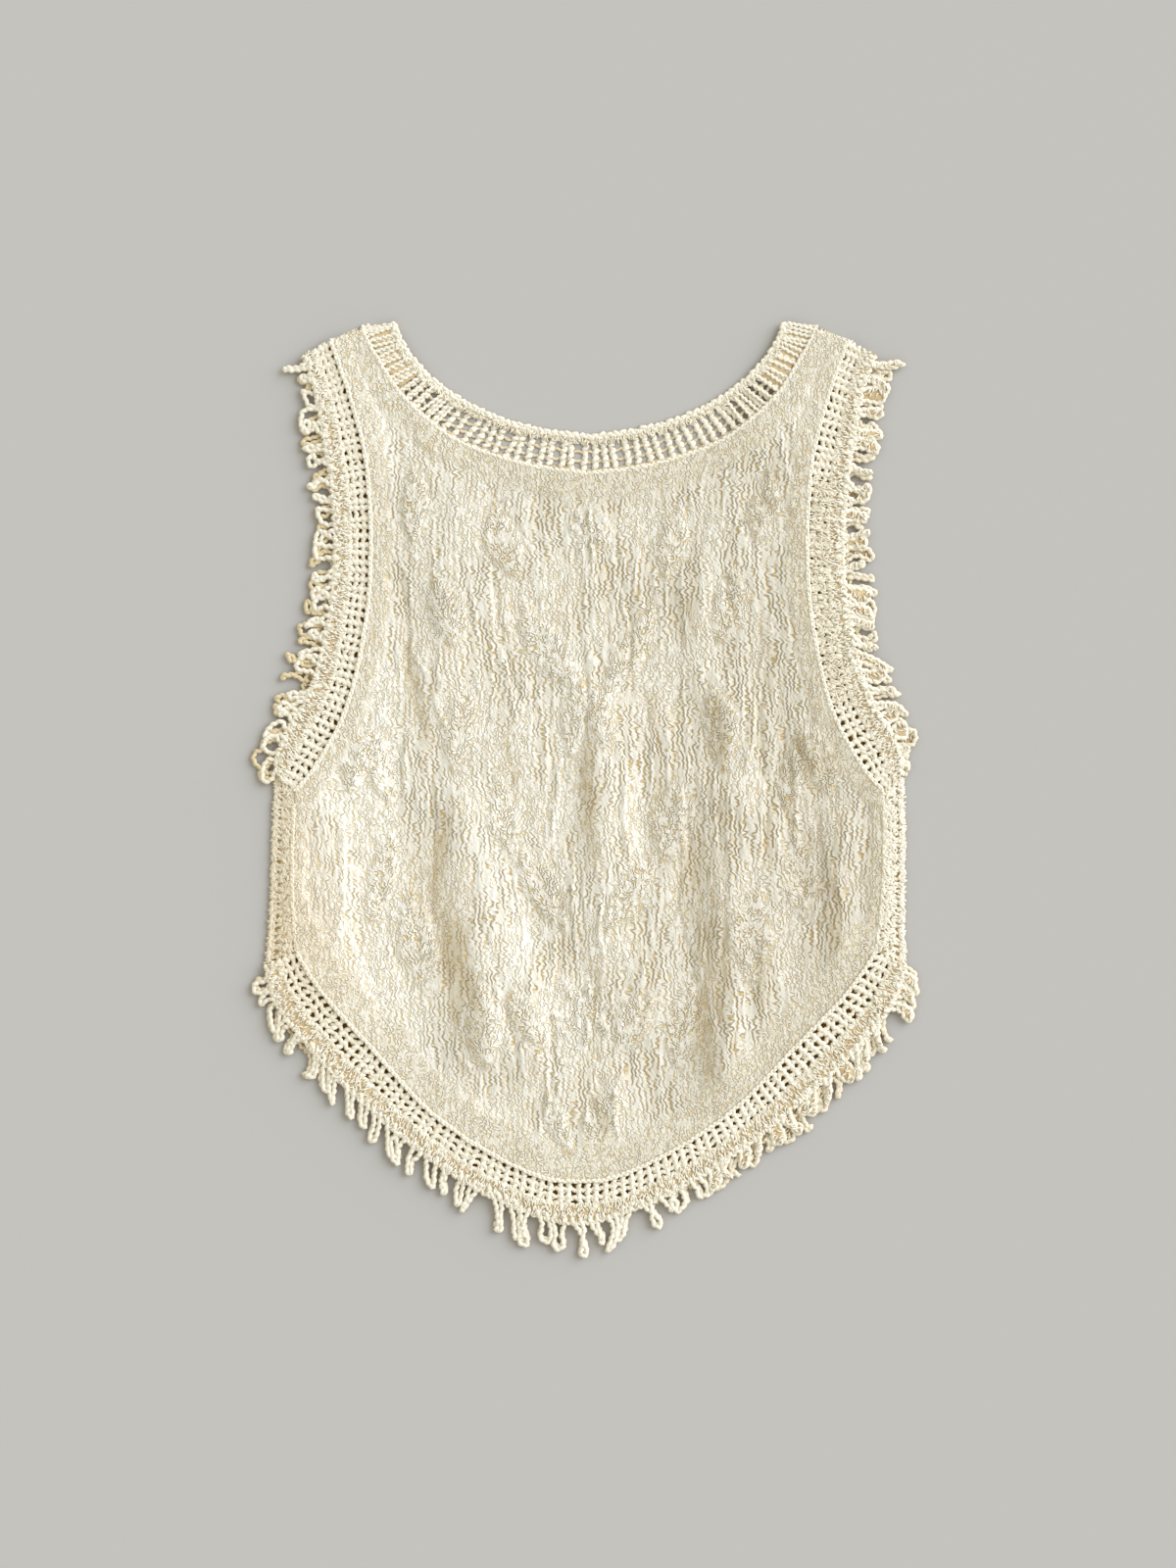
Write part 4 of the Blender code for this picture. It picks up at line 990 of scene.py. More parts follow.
def make_neck_bands(yarn, colours):
    """Thick bars over thin rungs, with an arch from each bar to the next, under a scalloped chain."""
    edges = np.concatenate([[0], np.cumsum(NECK_ROWS)]) / sum(NECK_ROWS)
    for layer, seed, bars in NECK_BANDS:
        skein, band = Skein(f"neck_crochet_{layer}", seed, yarn), band_of("neck", layer)
        chance = skein.chance
        shares = (np.arange(bars) + 0.24 + 0.06 * chance.normal(size=bars)) / (bars - 0.52)
        slants = 0.20 * chance.normal(size=bars) / bars
        for share, slant in zip(shares, slants):
            skein.knobby(band.bar(share, 0.0, edges[-2] + 0.05, 0.0006, slant), **NECK_BAR)
        for share, slant, after in zip(shares, slants, shares[1:]):
            turn = np.linspace(0, math.pi, 9)
            over = (share + after + slant) / 2 - (after - share) / 2 * np.cos(turn)
            skein.knobby(band.at(over, edges[-2] - 0.01 + 0.11 * np.sin(turn), 0.0008), **NECK_ARCH)
        # The rungs and the foot are tinted with painted shade, as they lie lower.
        for row in (2, 4):
            skein.knobby(band.row((edges[row] + edges[row + 1]) / 2, 0.0003, 4 * bars), **NECK_RUNG)
        skein.knobby(band.row(edges[1] * 0.7, 0.0004, 4 * bars), **NECK_FOOT)
        skein.chain(band.row(0.0, 0.0018), 0.0036, half_width=0.0005, radius=yarn.seam_radius, rise=0.0003)
        skein.ribbon(band, edges[-2] + 0.05, 0.93, lift=0.0008, columns=3 * bars, rows=3, tint=0.45)
        skein.stitches(band, edges[-2], 0.92, 11 * bars, size=0.0036, radius=yarn.close_radius, lift=0.0010,
                       tint=0.08)
        parts = SCALLOP_PARTS * bars
        wave = np.abs(np.sin(np.arange(parts) * math.pi / SCALLOP_PARTS)) * SCALLOP_HEIGHT
        outward = unit(band.row(1.0, 0.0, parts) - band.row(0.9, 0.0, parts))
        path = band.row(0.905, 0.0006, parts) + outward * (wave - 0.0006)[:, None]
        skein.chain(path, 0.0054, half_width=0.0010, radius=0.00145, sides=6)
        for start, step in ((0.0, 1), (1.0, -1)):
            for number in range(NECK_END_BARS):
                share = start + step * NECK_END * ((number + 0.5) / NECK_END_BARS) ** 1.4
                path = band.bar(share, 0.0, 0.86, 0.0012, slant=0.004 * chance.normal())
                skein.knobby(path, **NECK_END_BAR)
            closed = start + step * 0.55 * NECK_END * np.linspace(0, 1, 20)
            skein.ribbon(band.part(closed[::step]), 0.04, 0.88, lift=0.0008, columns=20, rows=6)
        skein.make(yarn_material(colours), "crochet_yarn", f"neck_band_{layer}")


def make_side_strips(yarn, colours):
    """Close stitches folded round the side, a chain on the seam, and a plump strand on the fold."""
    for place, seed, tint, lift in SIDE_STRIPS:
        skein = Skein(f"side_crochet_{place}", seed, yarn)
        seam, outer = (smooth_line(rows) * (SIDES[place], 1) for rows in (SIDE_SEAM, SIDE_EDGE))
        upper, lower = Band(seam, outer, strip_height), Band(seam, outer, front_height)
        for band in (upper, lower):
            for start, end, height, rows, dark in STRIP_SHEETS:
                skein.ribbon(band, start, end, height, columns=40, rows=rows, tint=dark or tint)
            if band is lower:
                break
            for number in range(STRIP_RUNGS):
                share = (number + 0.5 + 0.18 * skein.chance.normal()) / STRIP_RUNGS
                skein.knobby(band.bar(share, 0.50, 0.82, 0.0013), tint=tint, **STRIP_RUNG)
            for start, end, number in STRIP_STITCHES:
                skein.stitches(band, start, end, number, size=0.0044, radius=0.0009, lift=lift, turn=0.9,
                               tint=tint)
            skein.chain(band.row(0.0, 0.0016), 0.0036, half_width=0.0005, radius=yarn.seam_radius,
                        rise=0.0002, tint=tint)
        skein.knobby(lower.row(0.90, 0.0016), tint=tint, **STRIP_FOLD)
        skein.make(yarn_material(colours), "crochet_yarn", f"side_strip_{place}")


# Fringe

def vary(number, channel):
    """A repeatable value from -1 to 1 for each loop and purpose."""
    value = math.sin(12.9898 * (number + 1) + 78.233 * channel) * 43758.5453
    return 2 * (value - math.floor(value)) - 1


def loop_line(number, root, hang, sideways, reach, lean, opening, curl, shape, half_spread):
    """The middle of a loop's strand, from one root to the other, as a smooth line."""
    run = hang * reach + sideways * lean

    def leg(side):
        for share, spread in shape:
            spread *= side * half_spread * (opening if 0.3 < share < 0.95 else 1)
            yield root + run * share + sideways * (spread + curl * math.sin(math.pi * share) * LOOP_BEND)

    rows = np.array([*leg(-1), *list(leg(1))[::-1]])
    for k in range(1, len(rows) - 1):
        rows[k] += LOOP_WANDER * (sideways * vary(number, 20 + k) + hang * 0.6 * vary(number, 40 + k))
    return smooth_line(rows)[::3]


def make_fringe(yarn, colours):
    for place, layer, seed, loops, mean_reach, shorter, shift in FRINGES:
        side, on_hem, upper = SIDES[place], place == "hem", layer == "back"
        skein, band = Skein(f"loops_{place}_{layer}", seed, yarn), band_of(place, layer)
        strays = STRAYS.get((place, layer), {})
        shares = (np.arange(loops) + shift) / loops
        if on_hem and not upper:
            shares += 0.45 / loops * ease((shares - 0.60) / 0.15)
            shares = np.minimum(shares, 1 - 0.2 / loops)
        step = TANGENT_SPAN / loops
        ahead = unit(along(band.outer, shares + step) - along(band.outer, shares - step))
        outwards = right_of(ahead) * (-1 if place == "right" else 1)
        hang_x, hang_y, hang_share = HANG["hem" if on_hem else "armhole"]
        pull = np.array([hang_x * side, hang_y])
        places = zip(shares, along(band.outer, shares), ahead, outwards)
        for number, (along_edge, here, sideways, out) in enumerate(places):
            own = number + 50 * side + (0 if upper or on_hem else 200)
            reach = mean_reach * (1 + REACH_CHANGE * vary(number, 1))
            lean = LEAN * vary(own, 2)
            if number in strays:
                reach, lean = metres([strays[number]])[0]
            share = hang_share * (1 - HANG_EASE * abs(float(np.dot(pull, sideways))))
            reach = reach * (1 + 0.10 * vary(own, 6)) - shorter
            if on_hem:
                share *= 1 - CORNER_TURN * bell((1 - along_edge) / 0.10)
                reach += LONGER_MIDDLE * bell((along_edge - 0.48) / HEM_PART)
                reach -= SHORTER_RIGHT * bell((along_edge - 0.75) / HEM_PART)
            swing = 0.42 * vary(own, 5)
            hang = unit(out * (1 - share) + pull * share) * math.cos(swing) + sideways * math.sin(swing)
            inside = LOOP_INSIDE * (1 + 0.5 * vary(own, 8))
            flat = loop_line(
                own, here - out * inside, hang, sideways, reach + inside - LOOP_END, lean,
                opening=1.0 + 0.45 * vary(own, 3), curl=2.4 * vary(own, 4),
                shape=LOOP_SHAPES[int(len(LOOP_SHAPES) * (0.5 + 0.499 * vary(own, 7)))],
                half_spread=LOOSE_SPREAD * (LEFT_SPREAD if place == "left" and upper else 1),
            )
            over = np.abs(np.linspace(-1, 1, len(flat))) ** 3
            level = float(band.height(*here)) + LOOP_LIFT + LOOP_OVER * over - LOOP_DROOP * (1 - over) * upper
            path = raised(flat, np.maximum(level, yarn.loop_radius + LOOP_CLEAR))
            skein.knobby(path, yarn.loop_pitch, yarn.loop_sway, yarn.loop_radius, rise=0.0003,
                         sides=6 if upper else 5, tint=0.0 if upper else LOWER_TINT)
            if place == "right" or on_hem and along_edge > MATTED_FROM:
                half = len(flat) // 2
                web = Band(flat[:half], flat[-half:][::-1], band.height)
                skein.ribbon(web, 0.05, 0.95, lift=0.0010, columns=7, rows=3, tint=WEB_TINT)
                skein.stitches(web, 0.10, 0.90, WEB_STITCHES, size=0.0036, radius=yarn.close_radius,
                               lift=0.0013)
        # The left armhole's front loops take the shaded yarn, a copy with painted shade; the other front
        # loops get painted shade from LOWER_TINT.
        material = yarn_material(colours, place == "left" and not upper)
        skein.make(material, "fringe_yarn", f"fringe_{place}_{layer}")


# Materials

def new_group(name, inputs, outputs):
    """An empty group of shader nodes. Its inputs are vectors where they have None, and numbers elsewhere."""
    group = bpy.data.node_groups.new(name, "ShaderNodeTree")
    for label, value in inputs.items():
        kind = "NodeSocketVector" if value is None else "NodeSocketFloat"
        socket = group.interface.new_socket(label, in_out="INPUT", socket_type=kind)
        if value is not None:
            socket.default_value = value
    for label in outputs:
        group.interface.new_socket(label, in_out="OUTPUT", socket_type="NodeSocketFloat")
    return group


class Net:
    """Short ways to add and join shader nodes."""

    def __init__(self, tree):
        self.tree = tree

    def node(self, kind, **values):
        node = self.tree.nodes.new(kind)
        for name, value in values.items():
            setattr(node, name, value)
        return node

    def join(self, value, socket):
        if isinstance(value, bpy.types.NodeSocket):
            self.tree.links.new(value, socket)
        else:
            socket.default_value = value

    def made(self, kind, values, **settings):
        """A node's first output, with values for some of its inputs."""
        node = self.node(kind, **settings)
        for name, value in values.items():
            self.join(value, node.inputs[name])
        return node.outputs[0]

    def math(self, operation, a, b=0.5):
        return self.made("ShaderNodeMath", {0: a, 1: b}, operation=operation)

    def plus(self, a, b):
        return self.math("ADD", a, b)

    def times(self, a, b):
        return self.math("MULTIPLY", a, b)

    def larger(self, a, b):
        return self.math("MAXIMUM", a, b)

    def range(self, value, low, high, new_low, new_high):
        values = (value, low, high, new_low, new_high)
        return self.made("ShaderNodeMapRange", dict(enumerate(values)))

    def noise(self, vector, scale, detail, roughness=0.5, distortion=0.0):
        return self.made("ShaderNodeTexNoise", {"Vector": vector, "Scale": scale, "Detail": detail,
                                                "Roughness": roughness, "Distortion": distortion})

    def stretch(self, vector, scale):
        return self.made("ShaderNodeMapping", {"Vector": vector, "Scale": scale})

    def parts(self, vector):
        node = self.node("ShaderNodeSeparateXYZ")
        self.join(vector, node.inputs[0])
        return node.outputs

    def mix(self, share, a, b, blend="MIX"):
        """One colour over another, of which either can be a plain (red, green, blue)."""
        node = self.node("ShaderNodeMix", data_type="RGBA", blend_type=blend)
        self.join(share, node.inputs["Factor"])
        for socket, colour in ((node.inputs[6], a), (node.inputs[7], b)):
            self.join(colour if isinstance(colour, bpy.types.NodeSocket) else (*colour, 1), socket)
        return node.outputs[2]

    def value_of(self, name):
        return self.node("ShaderNodeAttribute", attribute_name=name).outputs["Fac"]

    def group(self, name, build, **given):
        """The outputs of a shared group, which is built when it is first asked for."""
        node = self.node("ShaderNodeGroup")
        node.node_tree = bpy.data.node_groups.get(name) or build(name)
        for label, value in given.items():
            self.join(value, node.inputs[label])
        return node.outputs

    def bump(self, shader, height, strength, distance):
        node = self.node("ShaderNodeBump")
        node.inputs["Strength"].default_value = strength
        node.inputs["Distance"].default_value = distance
        self.join(height, node.inputs["Height"])
        self.join(node.outputs["Normal"], shader.inputs["Normal"])

    def give(self, **results):
        """The outputs of the group that this net builds."""
        node = self.node("NodeGroupOutput")
        for label, value in results.items():
            self.join(value, node.inputs[label])


def build_plied_yarn(name):
    """Plies round a strand, with loose fibres over them."""
    inputs = {"Strand": None, "Position": None, "Ply Length": 0.0016, "Fibre Scale": 2600.0}
    group = new_group(name, inputs, ("Height", "Shade", "Top"))
    net = Net(group)
    given = net.node("NodeGroupInput").outputs
    along_strand, round_strand, _ = net.parts(given["Strand"])
    turns = net.plus(net.math("DIVIDE", along_strand, given["Ply Length"]), round_strand)
    ply = net.math("SINE", net.times(turns, 2 * math.pi))
    fibres = net.noise(given["Position"], given["Fibre Scale"], 3.0, 0.6, 0.6)
    mottle = net.noise(given["Position"], 420.0, 2.0)
    # Top is 1 on top of a strand and -1 under it; the yarn material paints shade on the lower sides with it.
    net.give(
        Height=net.plus(net.times(ply, 0.35), fibres),
        Shade=net.plus(net.times(fibres, 0.5), net.times(mottle, 0.5)),
        Top=net.math("SINE", net.times(round_strand, 2 * math.pi)),
    )
    return group


def build_fine_crinkle(name):
    """Flat crinkles between narrow wandering grooves, close in the dense weave and wide in the thin."""
    inputs = {"Position": None, "Dense": 1.0, "Facing": 0.0, "Ahead": 1.0, "Aside": 0.0}
    group = new_group(name, inputs, ("Height", "Hollow", "Crest", "Mottle"))
    net = Net(group)
    position, dense, facing, ahead, aside, _ = net.node("NodeGroupInput").outputs
    across = net.parts(position)["X"]

    def stray(scale, size, reach):
        value = net.noise(net.stretch(position, scale), size, 0.0)
        return net.times(net.math("SUBTRACT", value, 0.5), reach)

    def pleats(spacing, *strays):
        """Round ridges down the cloth: the depth between them, the line at the bottom, which takes painted
        shade, and the crest, which takes a painted highlight.
        """
        place = across
        for value in strays:
            place = net.plus(place, value)
        angle = net.times(place, math.pi / spacing)
        plain = net.times(net.math("SINE", angle), ahead)
        fanned = net.times(net.math("COSINE", angle), aside)
        ridge = net.math("ABSOLUTE", net.plus(plain, fanned))
        crest = net.range(ridge, 0.84, 1.0, 0.0, 1.0)
        return net.math("SUBTRACT", 1.0, ridge), net.range(ridge, 0.08, 0.56, 1.0, 0.0), crest

    def weighed(share, low, high):
        return net.range(share, 0.0, 1.0, low, high)

    def uneven(scale, size, least):
        value = net.noise(net.stretch(position, scale), size, 1.0)
        return net.range(value, 0.36, 0.52, least, 1.0)

    zigzag = stray((0.35, 1.0, 1.0), 430.0, 0.0050)
    bend = stray((1.0, 0.45, 1.0), 130.0, 0.0050)
    lean = stray((0.6, 1.0, 1.0), 22.0, 0.0130)
    squiggle = stray((0.60, 1.0, 1.0), 520.0, 0.0054)
    shift = stray((1.0, 0.7, 1.0), 190.0, 0.0036)
    wide = (pleats(WIDE_GROOVES, zigzag, bend, lean), weighed(dense, 1.0, 0.40),
            uneven((1.0, 0.40, 1.0), 240.0, 0.15))
    close = (pleats(CLOSE_GROOVES, squiggle, shift, lean), weighed(dense, 0.0, 1.0),
             uneven((1.0, 0.60, 1.0), 280.0, 0.10))
    dip = line = top = 0.0
    for (deep, bottom, crest), weight, change in (wide, close):
        weight = net.times(weight, change)
        dip = net.larger(dip, net.times(deep, weight))
        line = net.larger(line, net.times(bottom, weight))
        top = net.larger(top, net.times(crest, weight))
    specks = net.noise(net.stretch(position, (1.0, 0.7, 1.0)), 700.0, 1.0)
    specks = net.times(net.range(specks, 0.54, 0.66, 0.0, 0.9), facing)
    line = net.larger(line, specks)
    dip = net.larger(dip, net.times(specks, 0.6))
    grain = net.noise(position, 1500.0, 2.0, 0.6)
    calm_facing = weighed(facing, 1.0, 0.70)
    # The grooves' bottom lines and dips give painted shade, to which the facing's specks add, and the crests
    # give a painted highlight.
    net.give(
        Height=net.math("SUBTRACT", net.times(grain, 0.15), net.times(dip, calm_facing)),
        Hollow=net.times(net.larger(line, net.times(dip, 0.45)), calm_facing),
        Mottle=net.noise(net.stretch(position, (1.0, 0.5, 1.0)), 130.0, 3.0, 0.6, 0.5),
        Crest=net.times(top, weighed(facing, 1.0, 0.3)),
    )
    return group


def new_material(name, roughness, sheen):
    material = bpy.data.materials.new(name)
    material.use_nodes = True
    shader = material.node_tree.nodes["Principled BSDF"]
    shader.inputs["Roughness"].default_value = roughness
    shader.inputs["Metallic"].default_value = 0.0
    shader.inputs["Specular IOR Level"].default_value = 0.25
    shader.inputs["Sheen Weight"].default_value = sheen
    shader.inputs["Sheen Roughness"].default_value = 0.6
    return material, Net(material.node_tree), shader


def crinkled_cloth(colours):
    """Cream cloth: close weave in the leaves, thin grey ground between, painted tan shade in the hollows and
    grooves, and painted highlights on the crests.
    """
    name = "cream_crinkle"
    if name in bpy.data.materials:
        return bpy.data.materials[name]
    material, net, shader = new_material(name, 0.88, 0.15)
    dense, facing, pale, hollow, warm, ahead, aside = (
        net.value_of(name) for name in ("dense", "facing", "pale", "hollow", "warm", "ahead", "aside"))
    position = net.node("ShaderNodeTexCoord").outputs["Object"]
    crinkle = net.group("Fine crinkle", build_fine_crinkle, Position=position, Dense=dense, Facing=facing,
                        Ahead=ahead, Aside=aside)
    # Painted light and shade: lighter to the left and darker to the right, mixed in with the weave's own
    # paleness.
    colour = net.mix(pale, colours.thin_cloth, colours.cream_cloth)
    colour = net.mix(net.range(crinkle["Mottle"], 0.35, 0.65, 0.0, 0.08), colour, colours.facing_cloth)
    colour = net.mix(net.times(facing, 0.7), colour, colours.facing_cloth)
    # Painted highlight on the crinkles' crests.
    colour = net.mix(net.times(crinkle["Crest"], 0.40), colour, colours.crest)
    # Painted tan shade in the hollows, troughs, flanks and grooves.
    colour = net.mix(net.times(hollow, 0.50), colour, colours.hollow, "MULTIPLY")
    colour = net.mix(net.times(crinkle["Hollow"], 1.0), colour, colours.hollow, "MULTIPLY")
    colour = net.mix(net.times(warm, 0.35), colour, colours.warm_cloth)
    net.join(colour, shader.inputs["Base Color"])
    net.bump(shader, crinkle["Height"], strength=1.0, distance=0.0011)
    return material


def yarn_material(colours, shaded=False):
    """The crochet's yarn, or, for the front layer under the back, a tanner copy of it with painted shade."""
    name = "shaded_yarn" if shaded else "white_yarn"
    if name in bpy.data.materials:
        return bpy.data.materials[name]
    colour, hollow = colours.yarn, colours.yarn_painted_shade
    if shaded:
        colour, hollow = colours.shaded_yarn, colours.shaded_yarn_painted_shade
    material, net, shader = new_material(name, 0.9, 0.2)
    place = net.node("ShaderNodeTexCoord").outputs
    plied = net.group("Plied yarn", build_plied_yarn, Strand=place["UV"], Position=place["Object"])
    # Painted shade: the strands' lower sides, and what their tint marks, take the darker shade colour, and
    # the fibres add small dark spots.
    shade = net.range(plied["Shade"], 0.35, 0.65, 0.22, 0.0)
    low = net.range(plied["Top"], -0.30, 0.65, 1.0, 0.0)
    shade = net.larger(net.plus(shade, net.value_of("tint")), low)
    net.join(net.mix(shade, colour, hollow), shader.inputs["Base Color"])
    net.bump(shader, plied["Height"], strength=0.6, distance=0.0002)
    return material


# Settings, operators and panel

def colour_setting(name, description, value):
    return FloatVectorProperty(name=name, description=description, subtype="COLOR", size=3, min=0.0, max=1.0,
                               default=value)


def length_setting(name, description, value):
    return FloatProperty(name=name, description=description, default=value, min=0.0, unit="LENGTH",
                         precision=5)


def number_setting(name, description, value, least=0.0):
    return FloatProperty(name=name, description=description, default=value, min=least)


def count_setting(name, description, value, least):
    return IntProperty(name=name, description=description, default=value, min=least)


class ClothSettings(bpy.types.PropertyGroup):
    crinkle_height: length_setting("Crinkle Height", "Height of the highest crinkles", 0.0016)
    crinkle_spacing: length_setting("Crinkle Spacing", "Distance between narrow crinkles", 0.0048)
    motif_height: length_setting("Motif Height", "How far leaves and flowers stand up", 0.0011)
    outline_depth: length_setting("Outline Depth", "Depth of the hollow round a leaf or flower", 0.0007)
    columns: count_setting("Columns", "Grid columns across the back", 416, 40)
    underside_step: count_setting("Underside Step", "Top cells for each underside cell", 4, 2)


class YarnSettings(bpy.types.PropertyGroup):
    bar_radius: length_setting("Bar Radius", "Radius of the strand of a bar", 0.00190)
    bar_sway: length_setting("Bar Sway", "How far a bar's strand zigzags", 0.00055)
    bar_pitch: length_setting("Bar Stitch Pitch", "Length of a zigzag in a bar", 0.0040)
    bar_lift: length_setting("Bar Lift", "Height of a bar's middle over the underside", 0.0016)
    rung_radius: length_setting("Rung Radius", "Radius of the strand of a rung", 0.00150)
    rung_lift: length_setting("Rung Lift", "Height of a rung's middle over the underside", 0.0014)
    seam_radius: length_setting("Seam Radius", "Radius of the strands of the chain on a seam", 0.0011)
    seam_lift: length_setting("Seam Lift", "Height of the chain on a seam over the underside", 0.0025)
    close_radius: length_setting("Close Stitch Radius", "Radius of the strands of close stitches", 0.00065)
    loop_radius: length_setting("Loop Radius", "Radius of the strand of a fringe loop", 0.00165)
    loop_sway: length_setting("Loop Sway", "How far a loop's strand zigzags", 0.00038)
    loop_pitch: length_setting("Loop Stitch Pitch", "Length of a zigzag in the fringe", 0.0046)
    unevenness: length_setting("Unevenness", "How far stitches stray from their row", 0.00014)


class ColourSettings(bpy.types.PropertyGroup):
    # The cloth is mixed between the cream and the thin colour by its weave, and by painted light to the left
    # and painted shade to the right.
    cream_cloth: colour_setting("Cream Cloth", "Close weave", (0.885, 0.910, 0.875))
    thin_cloth: colour_setting("Thin Cloth", "Thin ground weave", (0.600, 0.588, 0.512))
    facing_cloth: colour_setting("Facing Cloth", "Doubled cloth along the seams", (0.690, 0.680, 0.590))
    # A warmer colour that the cloth and the yarn take at the lower left.
    warm_cloth: colour_setting("Warm Cloth", "Where the cloth lies against the crochet", (0.80, 0.66, 0.46))
    # Painted highlight along the crinkles' crests.
    crest: colour_setting("Cloth Crests", "Top of the crinkles", (0.900, 0.920, 0.890))
    # Painted shade: the tan of the cloth's hollows, troughs, flanks and grooves.
    hollow: colour_setting("Cloth Hollows", "Tint of the troughs between crinkles", (0.82, 0.60, 0.22))
    yarn: colour_setting("Yarn", "Crochet and fringe of the back", (0.865, 0.862, 0.765))
    # Painted shade of the yarn: its lower sides, low rungs and sheets, and small spots between its fibres.
    yarn_painted_shade: colour_setting("Yarn Hollows", "Between the fibres of the yarn", (0.55, 0.36, 0.09))
    # The shaded yarn is a tanner copy with painted shade, for the front layer, which lies under the back.
    shaded_yarn: colour_setting("Shaded Yarn", "Crochet and fringe of the front", (0.79, 0.735, 0.52))
    shaded_yarn_painted_shade: colour_setting("Shaded Yarn Hollows", "Between its fibres", (0.44, 0.26, 0.05))
    floor: colour_setting("Floor", "The surface under the top", (0.450, 0.456, 0.450))


class StageSettings(bpy.types.PropertyGroup):
    camera_height: length_setting("Camera Height", "Height of the camera over the surface", 2.456)
    camera_lens: number_setting("Lens", "Focal length", 85.0, 10.0)
    key_strength: number_setting("Key Strength", "Strength of the large light", 3.10)
    key_spread: number_setting("Key Spread", "Degrees that the large light spans", 55.0)
    room_light: number_setting("Room Light", "Strength of the light from all round", 0.79)


class TOP_OT_back_cloth(bpy.types.Operator):
    """Make the crinkled cloth of the back"""
    bl_idname = "top.back_cloth"
    bl_label = "Back Cloth"

    def execute(self, context):
        make_back_cloth(context.scene.top_cloth, context.scene.top_colours)
        return {"FINISHED"}


class TOP_OT_front_cloth(bpy.types.Operator):
    """Make the cloth of the front, which lies face down"""
    bl_idname = "top.front_cloth"
    bl_label = "Front Cloth"

    def execute(self, context):
        make_front_cloth(context.scene.top_colours)
        return {"FINISHED"}


class TOP_OT_neck_bands(bpy.types.Operator):
    """Crochet the bands of the neck"""
    bl_idname = "top.neck_bands"
    bl_label = "Neck Bands"

    def execute(self, context):
        make_neck_bands(context.scene.top_yarn, context.scene.top_colours)
        return {"FINISHED"}


class TOP_OT_hem_bands(bpy.types.Operator):
    """Crochet the bands of the hem"""
    bl_idname = "top.hem_bands"
    bl_label = "Hem Bands"

    def execute(self, context):
        make_edge_bands(context.scene.top_yarn, context.scene.top_colours, ["hem"])
        return {"FINISHED"}


class TOP_OT_armhole_bands(bpy.types.Operator):
    """Crochet the bands of the armholes"""
    bl_idname = "top.armhole_bands"
    bl_label = "Armhole Bands"

    def execute(self, context):
        make_edge_bands(context.scene.top_yarn, context.scene.top_colours, ["left", "right"])
        return {"FINISHED"}


class TOP_OT_side_strips(bpy.types.Operator):
    """Crochet the strips down the sides"""
    bl_idname = "top.side_strips"
    bl_label = "Side Strips"

    def execute(self, context):
        make_side_strips(context.scene.top_yarn, context.scene.top_colours)
        return {"FINISHED"}


class TOP_OT_fringe(bpy.types.Operator):
    """Make the chain loops of the armholes and the hem"""
    bl_idname = "top.fringe"
    bl_label = "Fringe"

    def execute(self, context):
        make_fringe(context.scene.top_yarn, context.scene.top_colours)
        return {"FINISHED"}


class TOP_OT_stage(bpy.types.Operator):
    """Make the surface, the lights and the camera"""
    bl_idname = "top.stage"
    bl_label = "Stage"

    def execute(self, context):
        make_stage(context.scene.top_stage, context.scene.top_colours)
        return {"FINISHED"}


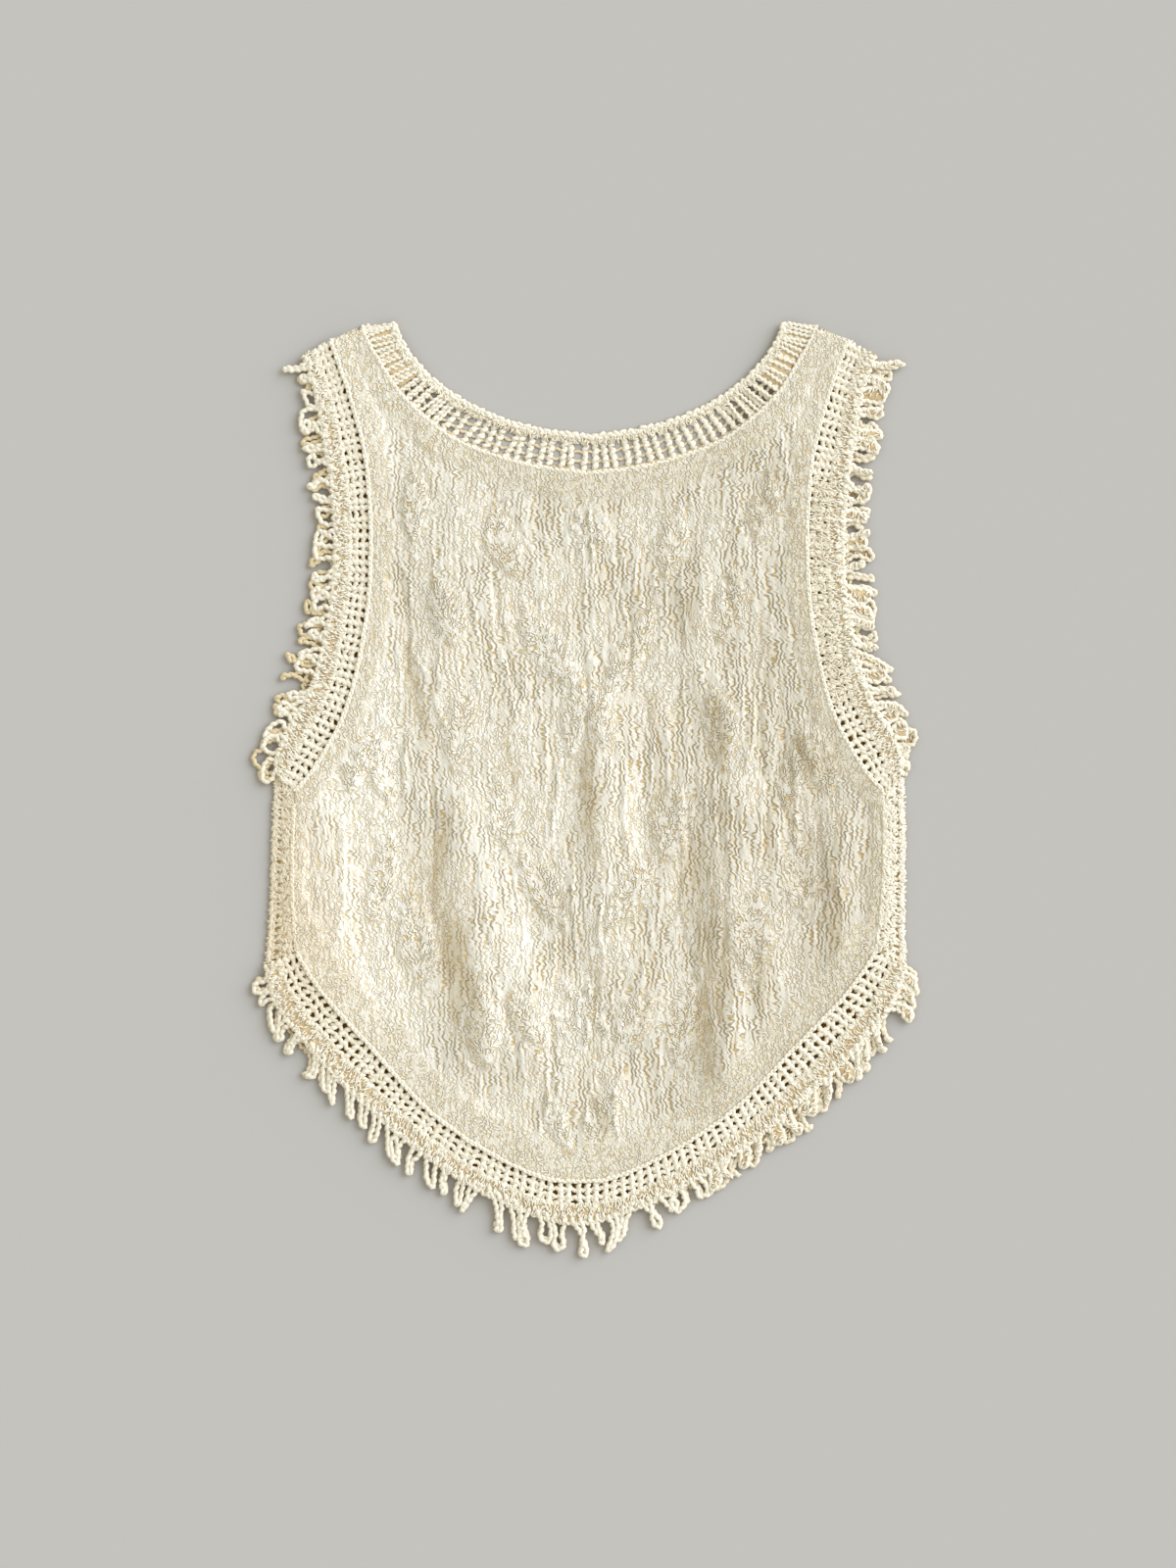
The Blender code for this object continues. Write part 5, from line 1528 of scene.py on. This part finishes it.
def make_stage(stage, colours):
    bpy.ops.object.select_all(action="DESELECT")
    bpy.ops.mesh.primitive_plane_add(size=FLOOR_SIZE, location=(0, 0, -FLOOR_DROP))
    floor = bpy.context.object
    floor.name = "floor"
    material, _, shader = new_material("floor", 0.95, 0.0)
    shader.inputs["Base Color"].default_value = (*colours.floor, 1)
    floor.data.materials.append(material)

    light = bpy.data.lights.new("key", "SUN")
    light.angle = math.radians(stage.key_spread)
    light.energy = stage.key_strength
    light.color = KEY_COLOUR
    key = bpy.data.objects.new("key", light)
    x, y, z = key.location = KEY_PLACE
    key.rotation_euler = (math.atan2(math.hypot(x, y), z), 0, math.atan2(x, -y))

    world = bpy.data.worlds.new("room")
    world.use_nodes = True
    background = world.node_tree.nodes["Background"]
    background.inputs["Color"].default_value = (*ROOM_COLOUR, 1)
    background.inputs["Strength"].default_value = stage.room_light

    lens = bpy.data.cameras.new("camera")
    lens.type = "PERSP"
    lens.lens = stage.camera_lens
    lens.sensor_width = 36.0
    lens.sensor_fit = "AUTO"
    lens.clip_end = 50.0
    camera = bpy.data.objects.new("camera", lens)
    camera.location = (CAMERA_ASIDE, 0.0, stage.camera_height)

    scene = bpy.context.scene
    scene.collection.objects.link(key)
    scene.collection.objects.link(camera)
    scene.world = world
    scene.view_settings.view_transform = "Standard"
    scene.camera = camera


OPERATORS = [
    TOP_OT_back_cloth, TOP_OT_front_cloth, TOP_OT_neck_bands, TOP_OT_hem_bands, TOP_OT_armhole_bands,
    TOP_OT_side_strips, TOP_OT_fringe, TOP_OT_stage,
]


class TOP_PT_panel(bpy.types.Panel):
    """The top's settings and pieces"""
    bl_idname = "TOP_PT_panel"
    bl_label = "Crochet Trimmed Top"
    bl_space_type = "VIEW_3D"
    bl_region_type = "UI"
    bl_category = "Top"

    def draw(self, context):
        for group in SETTINGS:
            settings = getattr(context.scene, group)
            box = self.layout.box()
            for name in settings.__annotations__:
                box.prop(settings, name)
        for operator in OPERATORS:
            self.layout.operator(operator.bl_idname)


SETTINGS = {
    "top_cloth": ClothSettings, "top_yarn": YarnSettings, "top_colours": ColourSettings,
    "top_stage": StageSettings,
}
CLASSES = [*SETTINGS.values(), *OPERATORS, TOP_PT_panel]


def register():
    for kind in CLASSES:
        bpy.utils.register_class(kind)
    for name, kind in SETTINGS.items():
        setattr(bpy.types.Scene, name, PointerProperty(type=kind))


def unregister():
    for name in SETTINGS:
        delattr(bpy.types.Scene, name)
    for kind in reversed(CLASSES):
        bpy.utils.unregister_class(kind)


def declare_sheets():
    """Gathers, for each panel, the names of what is sewn to it; nothing is done with them."""
    names = [thing.name for thing in bpy.data.objects]
    for word, rests_on, flat, area in (("back", "front_cloth", BACK_CUT, BACK_CUT_AREA),
                                       ("front", "floor", FRONT_CUT, FRONT_CUT_AREA)):
        sewn = [name for name in names if ("crochet" in name or "loops" in name) and word in name]
        sewn += [name for name in names if name.startswith("side_crochet") and word == "back"]


def main():
    register()
    bpy.ops.top.back_cloth()
    bpy.ops.top.front_cloth()
    bpy.ops.top.neck_bands()
    bpy.ops.top.hem_bands()
    bpy.ops.top.armhole_bands()
    bpy.ops.top.side_strips()
    bpy.ops.top.fringe()
    bpy.ops.top.stage()
    declare_sheets()


if __name__ == "__main__":
    main()
